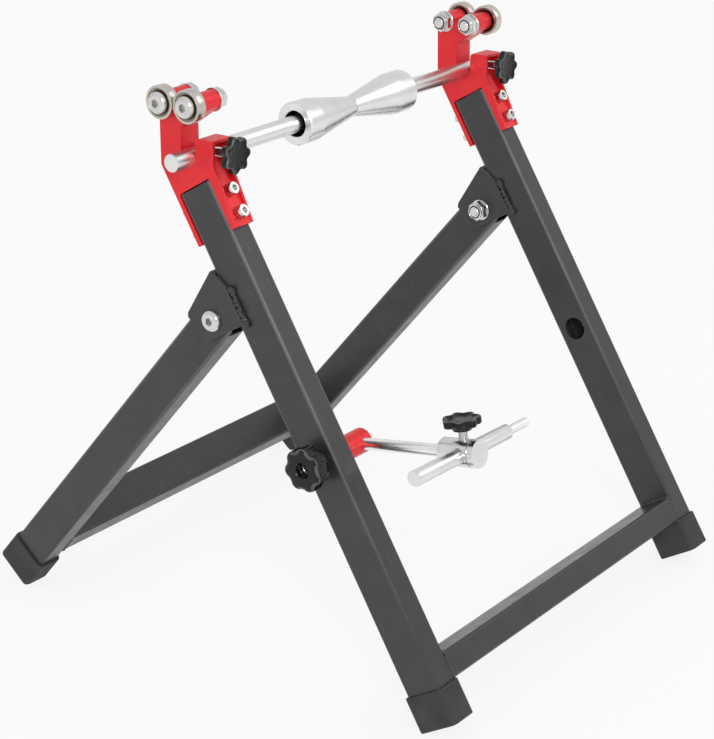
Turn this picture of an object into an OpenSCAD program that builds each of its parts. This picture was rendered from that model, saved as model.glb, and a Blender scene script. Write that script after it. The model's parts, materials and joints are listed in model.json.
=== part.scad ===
// Folding motorcycle wheel balancing and truing stand.
// X runs along the shaft, -Y is the front and Z is up.
// The origin lies on the floor, under the middle of the stand.

/* [Frame tubes] */
// Distance between the middle planes of the two uprights
upright_pitch = 310; // [270:1:350]
// Width of the rectangular tube, along the shaft
tube_w = 18; // [16:0.5:20]
// Depth of the rectangular tube, front to back
tube_d = 28; // [26:0.5:32]
// Wall of the tube
tube_wall = 1.5; // [1:0.1:1.8]
// Outer corner radius of the tube
tube_corner = 2; // [1.9:0.1:3]
// Length of an upright tube
upright_len = 370; // [350:1:400]
// Lean of the uprights from the vertical, in degrees
upright_lean = 30.6; // [28:0.2:33]
// Splay of the rear legs from the vertical, in degrees
leg_splay = 40.6; // [38:0.2:43]
// Height of the rear crossbar above the soles, along the leg
rear_bar_up = 33; // [28:1:60]
// Depth below the pivot of the notch in a rear leg's front wall
leg_notch = 1.5; // [1:0.5:6]

/* [Rubber feet] */
// Wall of a foot cap
cap_wall = 2; // [1.5:0.1:2.4]
// Height of a foot cap along its tube
cap_height = 24; // [18:1:27]
// Thickness of the cap under the tube
cap_floor = 3; // [2:0.5:5]
// Depth of the worn flat that stands on the floor
cap_flat = 1; // [0.6:0.1:1.5]
// Play between a cap and its tube
cap_fit = 0.1; // [0.05:0.01:0.2]

/* [Leg clevises] */
// Thickness of the folded clevis plate
clevis_plate = 2.5; // [2:0.1:3]
// Play between a clevis cheek and the tubes
clevis_play = 0.3; // [0.3:0.05:0.5]
// Distance of the pivot below the upright's top, along the upright
pivot_down = 80.5; // [76:0.5:95]
// Distance of the pivot behind the upright's rear face
pivot_back = 17.4; // [17:0.1:24]
// Distance of the clevis web from the pivot
web_off = 18.2; // [18:0.1:21]
// Turn of the clevis web from the upright, in degrees
web_turn = 27.6; // [24:0.2:29]
// Length of the clevis web in front of its foot, which lies square above the pivot
web_len = 27.6; // [25:0.2:31]
// Length of the clevis web behind its foot
web_tail = 6.4; // [5:0.2:7]
// Depth of a clevis cheek below the pivot, along the upright
cheek_drop = 11.2; // [10:0.2:15]
// Rise of a cheek's front edge above the pivot, along the upright
cheek_rise = 12.6; // [11:0.2:15]
// Reach of a clevis cheek behind the pivot
cheek_back = 18.5; // [17:0.5:20]
// Cut across a cheek's rear corners
cheek_cut = 3; // [2:0.5:4]
// Reach of a clevis cheek onto the upright's side
cheek_lap = 5.7; // [4:0.1:8]
// Diameter of the pivot bolts
pivot_bolt_d = 8; // [7:0.5:9]

/* [Roller brackets] */
// Thickness of a bracket, along the shaft
bracket_w = 18; // [18:0.5:22]
// Distance of the upright's top front edge ahead of the roller plane
tube_top_front = 22; // [20:0.5:24]
// Height of the roller axes above the upright's top
roller_rise = 47; // [46:0.5:56]
// Distance between the two roller axes of a bracket
roller_spread = 22.6; // [22.4:0.1:28]
// Radius of the round lobe behind a roller
lobe_r = 6.7; // [6.5:0.1:9]
// Height of the shaft axis above the upright's top
shaft_rise = 11.8; // [11:0.1:14]
// Distance of the shaft axis ahead of the roller plane
shaft_front = 5.2; // [4:0.1:6]
// Height of the hook above the upright's top
hook_rise = 25.3; // [24:0.1:28]
// Distance of the hook's front ahead of the roller plane
hook_front = 26; // [25:0.5:29]
// Distance of the recess floor ahead of the roller plane
recess_front = 20; // [18.5:0.5:22]
// Thickness of the lid over the recess
hook_lid = 2; // [1.5:0.5:5]
// Thickness of the walls beside the recess
recess_wall = 2.2; // [1.8:0.1:4]
// Height above the upright's top where the recess walls turn forward
wall_turn_rise = 9; // [6:0.5:10]
// Distance of the arm's rear face behind the roller plane
arm_rear = 18; // [16:0.5:20]
// Height above the upright's top where the head overhangs
ledge_rise = 30.5; // [29:0.5:34]
// Thickness of the flange in front of the tube
front_flange = 4; // [3.5:0.5:7]
// Thickness of the flange behind the tube
rear_flange = 3.5; // [3:0.5:6]
// Slack between the tube and the rear flange
pocket_slack = 0.7; // [0.3:0.1:1.2]
// Gap between the tube's top and the pocket's roof
pocket_roof = 1; // [0.5:0.1:1.5]
// Length of the flanges below the upright's top
flange_len = 34.5; // [32:0.5:40]
// Diameter of the bolts through flanges and tube
flange_bolt_d = 5; // [4:0.5:6]
// Distance of the first flange bolt below the upright's top
flange_bolt_down = 10.5; // [9:0.5:12]
// Distance between the two flange bolts
flange_bolt_pitch = 15.5; // [14:0.5:17]
// Height of the clamp screw above the upright's top
clamp_rise = 16.7; // [15.5:0.1:18]

/* [Rollers] */
// Outer diameter of a roller bearing
bearing_od = 22; // [21:0.5:22.5]
// Bore of a roller bearing, and its bolt
bearing_bore = 8; // [7.5:0.1:8.5]
// Width of a roller bearing
bearing_w = 7; // [6.8:0.1:8]
// Diameter of a bearing ball
ball_d = 3.9; // [3.6:0.1:4]
// Number of balls in a bearing
ball_count = 7; // [6:1:8]
// Height of the raised seat under the inner ring
seat_h = 0.6; // [0.4:0.1:1]

/* [Shaft and cones] */
// Diameter of the shaft
shaft_d = 12; // [11.5:0.1:12.4]
// Length of the shaft
shaft_len = 362; // [362:1:400]
// Shift of the shaft to the right
shaft_shift = 0.6; // [0:0.1:1]
// Play around the shaft, on the radius
running_fit = 0.05; // [0.03:0.01:0.08]
// Length of a cone
cone_len = 61; // [50:1:70]
// Diameter of a cone's large end
cone_big_d = 30; // [27:0.5:40]
// Diameter of a cone's small end
cone_small_d = 14.5; // [14:0.1:18]
// Length of the straight band at the large end
cone_band = 15; // [12:0.5:20]
// Diameter of the counterbore in the large end
cone_cup_d = 18; // [15:0.5:22]
// Depth of the counterbore
cone_cup_depth = 14; // [12:0.5:15]
// Distance of the cones' meeting point from the middle of the shaft
cone_meet_x = 5.5; // [-20:0.5:20]
// Gap between the two small ends
cone_gap = 0.4; // [0.3:0.1:2]
// Diameter of a cone's grub screw
grub_d = 5; // [4:0.5:6]

/* [Knobs] */
// Diameter of the small star knobs
small_knob_d = 25; // [22:0.5:28]
// Diameter of the large star knob
large_knob_d = 29.5; // [28:0.5:36]
// Number of lobes around a knob
knob_lobes = 7; // [5:1:9]
// Diameter of the small knobs' screws
small_screw_d = 6; // [5:0.5:6.5]
// Diameter of the large knob's screw
large_screw_d = 8; // [7:0.5:8.5]

/* [Truing arm] */
// Distance of the arm's hole below the upright's top
arm_hole_down = 190.2; // [170:0.1:220]
// Diameter of the swivel clamp
swivel_d = 16.5; // [15:0.5:18]
// Distance of the arm rod from the upright's inner face
arm_offset = 21.5; // [20:0.5:40]
// Length of the swivel clamp beyond the arm rod
swivel_end = 6.5; // [6:0.5:10]
// Diameter of the arm rod
arm_rod_d = 8; // [7:0.5:9]
// Rise of the arm rod towards the front, in degrees
arm_lift = 9.5; // [0:0.5:15]
// Turn of the pointer block about the arm rod, in degrees
block_turn = 1.7; // [0:0.1:5]
// Length of the arm rod behind the swivel clamp's axis
arm_back = 24; // [22:1:40]
// Distance of the pointer block from the swivel clamp's axis
block_reach = 70; // [55:1:90]
// Diameter of the pointer block
block_d = 18; // [16.5:0.5:22]
// Length of the pointer block
block_len = 26.5; // [26:0.5:34]
// Diameter of the pointer rod
pointer_d = 10; // [8:0.5:10.5]
// Distance of the pointer from the block's rear end
pointer_set = 15.5; // [15.5:0.5:16]
// Length of the pointer rod
pointer_len = 101.5; // [90:0.5:120]
// Length of the pointer rod on the outer side of the block's middle
pointer_out = 54.5; // [45:0.5:60]
// Diameter of the pointer's threaded tip
tip_d = 6; // [5:0.5:7]
// Length of the tip that stands out of the pointer rod
tip_len = 23; // [15:1:30]

/* [Hidden] */
$fn = 64;

// Sides of the stand, and places of the two rollers on a bracket
left = -1;
right = 1;
front = -1;
rear = 1;

// Colours of the finishes
coat = [0.09, 0.09, 0.095];
rubber = [0.06, 0.06, 0.06];
red = [0.80, 0.05, 0.07];
zinc = [0.78, 0.79, 0.80];
bright = [0.86, 0.87, 0.88];
plastic = [0.04, 0.04, 0.04];

// Height of the upright's top, from the standing edge of the front caps
cap_out = cap_wall + cap_fit;
front_sole = upright_len + cap_floor;
tube_top_z = front_sole * cos(upright_lean) + (tube_d + cap_out) * sin(upright_lean) - cap_flat;
tube_top_y = -tube_top_front;

// A point of an upright's side view: rearward from its front face, up from its top
function on_tube(back, up) = [
    tube_top_y + back * cos(upright_lean) + up * sin(upright_lean),
    tube_top_z - back * sin(upright_lean) + up * cos(upright_lean)
];

// Pivot of the rear legs, and the legs' length down to the floor
pivot_at = on_tube(tube_d + pivot_back, -pivot_down);
rear_drop = pivot_at[1] + cap_flat - (tube_d / 2 + cap_out) * sin(leg_splay);
rear_sole = rear_drop / cos(leg_splay);
leg_len = rear_sole - cap_floor;

// The stand is moved so that its footprint is centred on the origin
front_reach = on_tube(-cap_out, -front_sole)[0];
rear_reach = pivot_at[0] + (tube_d / 2 + cap_out) * cos(leg_splay) + rear_sole * sin(leg_splay);
centre_y = -(front_reach + rear_reach) / 2;

// Heights and depths shared by the brackets, the rollers and the shaft
roller_z = tube_top_z + roller_rise;
shaft_y = -shaft_front;
shaft_z = tube_top_z + shaft_rise;
seat_r = shaft_d / 2 + running_fit;
hook_z = tube_top_z + hook_rise;
clamp_z = tube_top_z + clamp_rise;
rear_face = tube_d + pocket_slack + rear_flange;
bar_len = upright_pitch - tube_w;
clevis_gap = tube_w + 2 * clevis_play;
clevis_w = clevis_gap + 2 * clevis_plate;
flange_bolts = [flange_bolt_down, flange_bolt_down + flange_bolt_pitch];

// Bearing rings: ball circle, ring shoulders and shields
ball_circle = (bearing_od + bearing_bore) / 4;
ball_play = 0.03;
ring_inner = ball_circle - ball_d * 0.36;
ring_outer = ball_circle + ball_d * 0.36;
shield_t = 0.4;
shield_in = bearing_w / 2 - 0.8;
shield_step = 0.4;
shield_play = 0.35;
cage_wall = 0.55;
cage_play = 0.12;
cage_back = 2.4;
cage_front = 0.3;

// Standard fasteners, from the bolt's diameter
function head_d(d) = 1.84 * d;
function head_h(d) = 0.45 * d;
function socket_af(d) = 0.625 * d;
function cap_d(d) = 1.7 * d;
function cap_socket_af(d) = 0.8 * d;
function nut_af(d) = 1.625 * d;
function nut_h(d) = 0.9 * d;
function washer_d(d) = 1.95 * d;
washer_t = 1.2;
bolt_end = 0.8;
bolt_play = 0.05;
hole_play = 0.15;

// Knob shapes, from the knob's diameter
hub_h = 3;
small_lobe_h = 5.5;
large_lobe_h = 11.2;
large_hub_h = 6;
knob_gap = 0.4;
knob_grip = 6;
small_stem = 11.1;
pointer_stem = 5.7;
dish_depth = 1.2;
face_hole_depth = 7;
tip_play = 0.25;

// Truing arm, seen from the swivel clamp's axis
arm_hole_at = on_tube(tube_d / 2, -arm_hole_down);
inner_face = upright_pitch / 2 - tube_w / 2;
outer_face = upright_pitch / 2 + tube_w / 2;
arm_x = -inner_face + arm_offset;
swivel_x = -outer_face + tube_wall + clevis_play;
swivel_len = arm_x + swivel_end - swivel_x;
pointer_reach = block_reach + pointer_set;
rod_socket = 10;
groove_at = 21.6;
groove_w = 1;
groove_depth = 0.9;
tip_socket = 12;
cut = 1;
far = 1000;

module at_stand() translate([0, centre_y, 0]) children();

// Local axes of an upright: X across, Y rearward from its front face, Z up from its top
module at_upright(side) {
    at_stand()
        translate([side * upright_pitch / 2, tube_top_y, tube_top_z])
            rotate([-upright_lean, 0, 0]) children();
}

// Local axes of a rear leg, from its pivot: X across, Z up the leg
module at_leg(x) {
    at_stand()
        translate([x, pivot_at[0], pivot_at[1]])
            rotate([leg_splay, 0, 0]) children();
}

// Local axes of a roller, from its bracket's outer face: Z points outward
module at_roller(side, place) {
    at_stand()
        translate([
            side * (upright_pitch + bracket_w) / 2, place * roller_spread / 2, roller_z
        ])
            rotate([0, side * 90, 0]) children();
}

// Local axes of the truing arm: -Y along the rod, X along the swivel axis
module at_arm() {
    at_stand()
        translate([arm_x, arm_hole_at[0], arm_hole_at[1]])
            rotate([-arm_lift, 0, 0]) children();
}

// Local axes of the pointer block, which is turned a little about the arm rod
module at_block() at_arm() rotate([0, block_turn, 0]) children();

// Local axes of the pointer, from the middle of its block
module at_pointer() at_block() translate([0, -pointer_reach, 0]) children();

// A slab with its outline in the YZ plane, centred on x
module slab(x, w) {
    translate([x - w / 2, 0, 0]) rotate([90, 0, 90]) linear_extrude(w) children();
}

// A cylinder along X, centred on the origin
module rod_x(r, len) rotate([0, 90, 0]) cylinder(r = r, h = len, center = true);

// A cylinder along Y, from y to y + len
module rod_y(r, y, len) translate([0, y, 0]) rotate([-90, 0, 0]) cylinder(r = r, h = len);

module tube_outline(w, d, r) {
    square([w - 2 * r, d], center = true);
    square([w, d - 2 * r], center = true);
    for (x = [-1, 1], y = [-1, 1])
        translate([x * (w / 2 - r), y * (d / 2 - r)]) circle(r);
}

module tube_wall_outline() {
    difference() {
        tube_outline(tube_w, tube_d, tube_corner);
        tube_outline(tube_w - 2 * tube_wall, tube_d - 2 * tube_wall, tube_corner - tube_wall);
    }
}

module tube(len) linear_extrude(len) tube_wall_outline();

module button_bolt(d, len) {
    dome_r = (pow(head_d(d) / 2, 2) + pow(head_h(d), 2)) / (2 * head_h(d));
    difference() {
        intersection() {
            translate([0, 0, head_h(d) - dome_r]) sphere(dome_r);
            cylinder(d = head_d(d), h = head_h(d));
        }
        translate([0, 0, head_h(d) * 0.4])
            cylinder(d = socket_af(d) / cos(30), h = head_h(d), $fn = 6);
    }
    translate([0, 0, -len]) cylinder(r = d / 2 - bolt_play, h = len);
}

module cap_bolt(d, len) {
    difference() {
        cylinder(d = cap_d(d), h = d);
        translate([0, 0, d * 0.45])
            cylinder(d = cap_socket_af(d) / cos(30), h = d, $fn = 6);
    }
    translate([0, 0, -len]) cylinder(r = d / 2 - bolt_play, h = len);
}

module lock_nut(d) {
    difference() {
        union() {
            cylinder(d = nut_af(d) / cos(30), h = nut_h(d) * 0.68, $fn = 6);
            cylinder(d = nut_af(d) * 0.92, h = nut_h(d));
        }
        translate([0, 0, -cut]) cylinder(r = d / 2, h = nut_h(d) + 2 * cut);
    }
}

module washer(d) {
    difference() {
        cylinder(d = washer_d(d), h = washer_t);
        translate([0, 0, -cut]) cylinder(r = d / 2 + bolt_play, h = washer_t + 2 * cut);
    }
}

module left_upright() upright(left);
module right_upright() upright(right);

module upright(side) color(coat) at_upright(side) {
    difference() {
        translate([0, tube_d / 2, -upright_len]) tube(upright_len);
        for (down = flange_bolts)
            translate([0, 0, -down]) rod_y(flange_bolt_d / 2 + hole_play, -cut, tube_d + 2 * cut);
        translate([0, tube_d / 2, -arm_hole_down]) {
            translate([-side * tube_w / 2, 0, 0]) rod_x(swivel_d / 2 + running_fit, tube_w);
            translate([side * tube_w / 2, 0, 0]) rod_x(large_screw_d / 2 + running_fit, tube_w);
        }
    }
}

// The bar stands just above the front caps, with its front face flush
module front_crossbar() color(coat) at_upright(0) {
    translate([0, tube_d / 2, cap_height - front_sole + tube_w / 2 + cap_fit])
        rotate([0, 90, 0]) translate([0, 0, -bar_len / 2]) tube(bar_len);
}

module left_clevis() clevis(left);
module right_clevis() clevis(right);

// Points of a clevis cheek, back from the upright's front face and up from its top
pivot_point = [tube_d + pivot_back, -pivot_down];
web_way = [cos(web_turn), -sin(web_turn)];
web_foot = pivot_point + web_off * [sin(web_turn), cos(web_turn)];
web_top = web_foot - web_len * web_way;
cheek_edge = tube_d - cheek_lap;

module cheek_outline() polygon([
    web_top, web_foot + (web_tail + cheek_cut) * web_way,
    pivot_point + [cheek_back, cheek_back / 2],
    pivot_point + [cheek_back - 1.3 * cheek_cut, cheek_cut - cheek_drop],
    pivot_point + [cheek_back - 2 * cheek_cut, -cheek_drop],
    [cheek_edge, -pivot_down - cheek_drop], [cheek_edge, cheek_rise - pivot_down]
]);

module clevis(side) color(coat) at_upright(side) {
    for (x = [-1, 1])
        difference() {
            slab(x * (clevis_gap + clevis_plate) / 2, clevis_plate) cheek_outline();
            translate([0, pivot_point[0], pivot_point[1]])
                rod_x(pivot_bolt_d / 2, 2 * clevis_w);
        }
    slab(0, clevis_gap + clevis_plate)
        translate(web_foot) rotate(-web_turn)
            translate([-web_len, -clevis_plate]) square([web_len + web_tail, clevis_plate]);
}

module left_front_foot() front_foot(left);
module right_front_foot() front_foot(right);
module left_rear_foot() rear_foot(left);
module right_rear_foot() rear_foot(right);

module cap() {
    difference() {
        linear_extrude(cap_height)
            tube_outline(tube_w + 2 * cap_out, tube_d + 2 * cap_out, tube_corner + cap_out);
        translate([0, 0, cap_floor])
            linear_extrude(cap_height)
                tube_outline(tube_w + 2 * cap_fit, tube_d + 2 * cap_fit, tube_corner + cap_fit);
    }
}

module floor_cut() translate([-far, -far, -far]) cube([2 * far, 2 * far, far]);

module front_foot(side) color(rubber) difference() {
    at_upright(side) translate([0, tube_d / 2, -front_sole]) cap();
    floor_cut();
}

module rear_foot(side) color(rubber) difference() {
    at_leg(side * upright_pitch / 2) translate([0, 0, -rear_sole]) cap();
    floor_cut();
}

module left_rear_leg() rear_leg(left);
module right_rear_leg() rear_leg(right);

// The leg's top is rounded about its pivot, so that it turns inside the clevis, and open at the front
module rear_leg(side) color(coat) at_leg(side * upright_pitch / 2) {
    difference() {
        intersection() {
            translate([0, 0, -leg_len]) tube(leg_len + tube_d / 2);
            union() {
                rod_x(tube_d / 2, 2 * tube_w);
                translate([-tube_w, -tube_d, -far]) cube([2 * tube_w, 2 * tube_d, far]);
            }
        }
        rod_x(pivot_bolt_d / 2, 2 * tube_w);
        translate([tube_wall - tube_w / 2, -tube_d / 2 - cut, -leg_notch])
            cube([tube_w - 2 * tube_wall, tube_wall + 2 * cut, tube_d]);
    }
}

module rear_crossbar() color(coat) at_leg(0) {
    translate([0, 0, rear_bar_up - rear_sole + tube_w / 2])
        rotate([0, 90, 0]) translate([0, 0, -bar_len / 2]) tube(bar_len);
}

// Pivot bolts: heads on the outer cheeks, nuts on the inner ones
module at_pivot(side) {
    at_stand()
        translate([side * (upright_pitch + clevis_w) / 2, pivot_at[0], pivot_at[1]])
            rotate([0, side * 90, 0]) children();
}

module pivot_bolts() color(zinc) for (side = [left, right])
    at_pivot(side)
        button_bolt(pivot_bolt_d, clevis_w + washer_t + nut_h(pivot_bolt_d) + bolt_end);

module pivot_washers() color(zinc) for (side = [left, right])
    at_pivot(side) translate([0, 0, -clevis_w - washer_t]) washer(pivot_bolt_d);

module pivot_nuts() color(zinc) for (side = [left, right])
    at_pivot(side)
        translate([0, 0, -clevis_w - washer_t]) mirror([0, 0, 1]) lock_nut(pivot_bolt_d);

module left_roller_bracket() roller_bracket(left);
module right_roller_bracket() roller_bracket(right);

module in_upright_plane() {
    translate([tube_top_y, tube_top_z]) rotate(-upright_lean) children();
}

// Corners of the bracket's rear edge, which bends from the arm to the tube's slope
rear_bend_r = 30;
rear_bend_reach = rear_bend_r * tan(upright_lean / 2);
bend_drop = (arm_rear - on_tube(rear_face, 0)[0]) / sin(upright_lean);
bend_at = on_tube(rear_face, bend_drop);
arm_front = shaft_y + seat_r;
hook_round = 3;
lobe_foot = 240;

module bracket_outline() {
    lobe_y = roller_spread / 2;
    difference() {
        union() {
            polygon([
                on_tube(-front_flange, -flange_len), [-hook_front, tube_top_z + wall_turn_rise],
                [-hook_front, hook_z], [arm_front, hook_z], [arm_front, tube_top_z + ledge_rise],
                [-lobe_y + lobe_r * cos(lobe_foot), roller_z + lobe_r * sin(lobe_foot)],
                [-lobe_y, roller_z], [arm_rear, roller_z], bend_at,
                on_tube(rear_face, -flange_len)
            ]);
            for (y = [-lobe_y, lobe_y]) translate([y, roller_z]) circle(lobe_r);
        }
        translate([shaft_y, shaft_z]) circle(seat_r);
        translate([shaft_y - seat_r, shaft_z]) square([2 * seat_r, hook_z - shaft_z + cut]);
        in_upright_plane()
            translate([0, -flange_len - cut])
                square([tube_d + pocket_slack, flange_len + cut + pocket_roof]);
        hook_corner();
        rear_bend();
    }
}

// The hook's top corner beside the slot is rounded
module hook_corner() {
    translate([shaft_y - seat_r - hook_round, hook_z - hook_round])
        difference() {
            square(hook_round + cut);
            circle(hook_round);
        }
}

// The bend of the rear edge is rounded
module rear_bend() {
    difference() {
        polygon([
            bend_at, bend_at + [0, rear_bend_reach], bend_at + [cut, 0],
            on_tube(rear_face, bend_drop - rear_bend_reach)
        ]);
        translate([arm_rear - rear_bend_r, bend_at[1] + rear_bend_reach]) circle(rear_bend_r);
    }
}

// The recess for the clamp screw: behind its walls, under its lid, down to the flange's face
module recess_outline() {
    intersection() {
        translate([-hook_front - far, hook_z - hook_lid - far])
            square([far + hook_front - recess_front, far]);
        in_upright_plane() translate([-front_flange - far, -far]) square([far, 2 * far]);
    }
}

module roller_bracket(side) color(red) {
    x = side * upright_pitch / 2;
    difference() {
        at_stand() difference() {
            slab(x, bracket_w) bracket_outline();
            slab(x, bracket_w - 2 * recess_wall) recess_outline();
            translate([x, 0, clamp_z])
                rod_y(small_screw_d / 2 + running_fit, -hook_front - cut, hook_front - shaft_front);
            for (place = [front, rear])
                translate([x, place * roller_spread / 2, roller_z])
                    rod_x(bearing_bore / 2 + hole_play, 2 * bracket_w);
        }
        at_upright(side) for (down = flange_bolts)
            translate([0, 0, -down]) rod_y(flange_bolt_d / 2 + hole_play, -far, 2 * far);
    }
    for (place = [front, rear]) at_roller(side, place) difference() {
        cylinder(r = ring_inner - 0.5, h = seat_h);
        translate([0, 0, -cut]) cylinder(r = bearing_bore / 2 + hole_play, h = seat_h + 2 * cut);
    }
}

// Flange bolts: heads on the front of the bracket, washers and nuts behind it
module at_flange_bolt() {
    for (side = [left, right], down = flange_bolts)
        at_upright(side) translate([0, -front_flange, -down]) rotate([90, 0, 0]) children();
}

flange_grip = rear_face + front_flange;

module bracket_bolts() color(zinc) at_flange_bolt()
    cap_bolt(flange_bolt_d, flange_grip + washer_t + nut_h(flange_bolt_d) + bolt_end);

module bracket_washers() color(zinc) at_flange_bolt()
    translate([0, 0, -flange_grip - washer_t]) washer(flange_bolt_d);

module bracket_nuts() color(zinc) at_flange_bolt()
    translate([0, 0, -flange_grip - washer_t]) mirror([0, 0, 1]) lock_nut(flange_bolt_d);

// Roller bolts: heads outside the bearings, washers and nuts on the brackets' inner faces
module each_roller() {
    for (side = [left, right], place = [front, rear]) at_roller(side, place) children();
}

roller_grip = bracket_w + seat_h + bearing_w;

module roller_bolts() color(bright) each_roller()
    translate([0, 0, seat_h + bearing_w])
        button_bolt(bearing_bore, roller_grip + washer_t + nut_h(bearing_bore) + bolt_end);

module roller_washers() color(zinc) each_roller()
    translate([0, 0, -bracket_w - washer_t]) washer(bearing_bore);

module roller_nuts() color(zinc) each_roller()
    translate([0, 0, -bracket_w - washer_t]) mirror([0, 0, 1]) lock_nut(bearing_bore);

module inner_rings() color(bright) each_roller()
    translate([0, 0, seat_h]) inner_ring();

module inner_ring() {
    difference() {
        cylinder(r = ring_inner, h = bearing_w);
        translate([0, 0, -cut]) cylinder(r = bearing_bore / 2, h = bearing_w + 2 * cut);
        translate([0, 0, bearing_w / 2]) ball_race();
    }
}

// The groove that the balls run in
module ball_race() {
    rotate_extrude() translate([ball_circle, 0]) circle(ball_d / 2 + ball_play);
}

module left_front_roller() outer_ring(left, front);
module left_rear_roller() outer_ring(left, rear);
module right_front_roller() outer_ring(right, front);
module right_rear_roller() outer_ring(right, rear);

module outer_ring(side, place) color(bright) at_roller(side, place)
    translate([0, 0, seat_h + bearing_w / 2]) difference() {
        cylinder(d = bearing_od, h = bearing_w, center = true);
        cylinder(r = ring_outer, h = bearing_w + cut, center = true);
        for (z = [-1, 1]) translate([0, 0, z * (shield_in + bearing_w / 2)])
            cylinder(r = ring_outer + shield_step, h = bearing_w, center = true);
        ball_race();
    }

module left_front_shields() shields(left, front);
module left_rear_shields() shields(left, rear);
module right_front_shields() shields(right, front);
module right_rear_shields() shields(right, rear);

module shields(side, place) color(zinc) at_roller(side, place)
    translate([0, 0, seat_h + bearing_w / 2])
        for (z = [-1, 1]) translate([0, 0, z * (shield_in + shield_t / 2)]) difference() {
            cylinder(r = ring_outer + shield_step, h = shield_t, center = true);
            cylinder(r = ring_inner + shield_play, h = shield_t + cut, center = true);
        }

module left_front_balls() balls(left, front);
module left_rear_balls() balls(left, rear);
module right_front_balls() balls(right, front);
module right_rear_balls() balls(right, rear);

// The balls and the crown cage that spaces them
module balls(side, place) color(bright) at_roller(side, place)
    translate([0, 0, seat_h + bearing_w / 2]) {
        each_ball() sphere(d = ball_d);
        difference() {
            rotate_extrude() translate([ball_circle - cage_wall, -cage_front])
                square([2 * cage_wall, cage_front + cage_back]);
            each_ball() sphere(d = ball_d + 2 * cage_play);
        }
    }

module each_ball() {
    for (i = [0 : ball_count - 1])
        rotate(i * 360 / ball_count) translate([ball_circle, 0, 0]) children();
}

module at_shaft() at_stand() translate([0, shaft_y, shaft_z]) children();

shaft_chamfer = 0.8;

module shaft() color(bright) at_shaft() translate([shaft_shift, 0, 0]) rotate([0, 90, 0])
    rotate_extrude() polygon([
        [0, -shaft_len / 2], [shaft_d / 2 - shaft_chamfer, -shaft_len / 2],
        [shaft_d / 2, shaft_chamfer - shaft_len / 2], [shaft_d / 2, shaft_len / 2 - shaft_chamfer],
        [shaft_d / 2 - shaft_chamfer, shaft_len / 2], [0, shaft_len / 2]
    ]);

module left_cone() cone(left);
module right_cone() cone(right);
module left_cone_screw() cone_screw(left);
module right_cone_screw() cone_screw(right);

// Local axes of a cone: Z from its small end to its large end
module at_cone(side) {
    at_shaft() translate([cone_meet_x + side * cone_gap / 2, 0, 0])
        rotate([0, side * 90, 0]) children();
}

grub_turn = 145;
grub_seat = 0.3;
rim_chamfer = 1;
grub_up = cone_len - cone_cup_depth - 0.9 * grub_d;

module cone(side) color(bright) at_cone(side) difference() {
    rotate_extrude() polygon([
        [seat_r, 0], [cone_small_d / 2, 0], [cone_big_d / 2, cone_len - cone_band],
        [cone_big_d / 2, cone_len - rim_chamfer], [cone_big_d / 2 - rim_chamfer, cone_len],
        [cone_cup_d / 2, cone_len], [cone_cup_d / 2, cone_len - cone_cup_depth],
        [seat_r, cone_len - cone_cup_depth]
    ]);
    translate([0, 0, grub_up]) rotate(grub_turn) rotate([0, 90, 0])
        cylinder(r = grub_d / 2 + bolt_play, h = cone_big_d);
}

module cone_screw(side) color(plastic) at_cone(side)
    translate([0, 0, grub_up]) rotate(grub_turn) rotate([0, 90, 0])
        translate([0, 0, seat_r + grub_seat]) difference() {
            grub_len = cone_big_d / 2 - seat_r - 2 * grub_seat - cut;
            cylinder(r = grub_d / 2, h = grub_len);
            translate([0, 0, grub_len - grub_d / 2])
                cylinder(d = grub_d / 2 / cos(30), h = grub_d, $fn = 6);
        }

// A star knob: hub at the bottom, dished face at the top, blind bore for its screw
module star_knob(d, hub, lobes_h, bore_d, face_d, face_depth) {
    notch_r = d * 0.13;
    notch_at = d * 0.525;
    rim = 1.2;
    difference() {
        union() {
            cylinder(d = d * 0.54, h = hub);
            translate([0, 0, hub]) difference() {
                rotate_extrude() polygon([
                    [0, 0], [d / 2 - rim, 0], [d / 2, rim], [d / 2, lobes_h - 2 * rim],
                    [d / 2 - 2 * rim, lobes_h], [0, lobes_h]
                ]);
                for (i = [0 : knob_lobes - 1])
                    rotate((i + 0.5) * 360 / knob_lobes) translate([notch_at, 0, -cut])
                        cylinder(r = notch_r, h = lobes_h + 2 * cut);
            }
        }
        translate([0, 0, -cut]) cylinder(r = bore_d / 2 + running_fit, h = knob_grip + cut);
        translate([0, 0, hub + lobes_h - face_depth]) cylinder(d = face_d, h = face_depth + cut);
    }
}

module left_clamp_stud() clamp_stud(left);
module right_clamp_stud() clamp_stud(right);
module left_clamp_knob() clamp_knob(left);
module right_clamp_knob() clamp_knob(right);

// Local axes of a clamp screw, from the hook's slot: Z points to the front
module at_clamp(side) {
    at_stand() translate([side * upright_pitch / 2, shaft_y - seat_r, clamp_z])
        rotate([90, 0, 0]) children();
}

clamp_stem = recess_front - shaft_front - seat_r + small_stem;

module clamp_stud(side) color(zinc) at_clamp(side)
    cylinder(d = small_screw_d, h = clamp_stem + knob_grip - tip_play);

module clamp_knob(side) color(plastic) at_clamp(side) translate([0, 0, clamp_stem])
    star_knob(small_knob_d, hub_h, small_lobe_h, small_screw_d, small_knob_d * 0.5, dish_depth);

// Local axes of the swivel screw, from the upright's outer face: Z points outward
module at_swivel() {
    at_stand() translate([-outer_face, arm_hole_at[0], arm_hole_at[1]])
        rotate([0, -90, 0]) children();
}

swivel_reach = outer_face + arm_x - arm_rod_d / 2 - tip_play;

module swivel_stud() color(zinc) at_swivel() translate([0, 0, -swivel_reach])
    cylinder(d = large_screw_d, h = swivel_reach + knob_gap + knob_grip - tip_play);

module swivel_knob() color(plastic) at_swivel() translate([0, 0, knob_gap])
    star_knob(large_knob_d, large_hub_h, large_lobe_h, large_screw_d, large_knob_d * 0.4,
              face_hole_depth);

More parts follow.
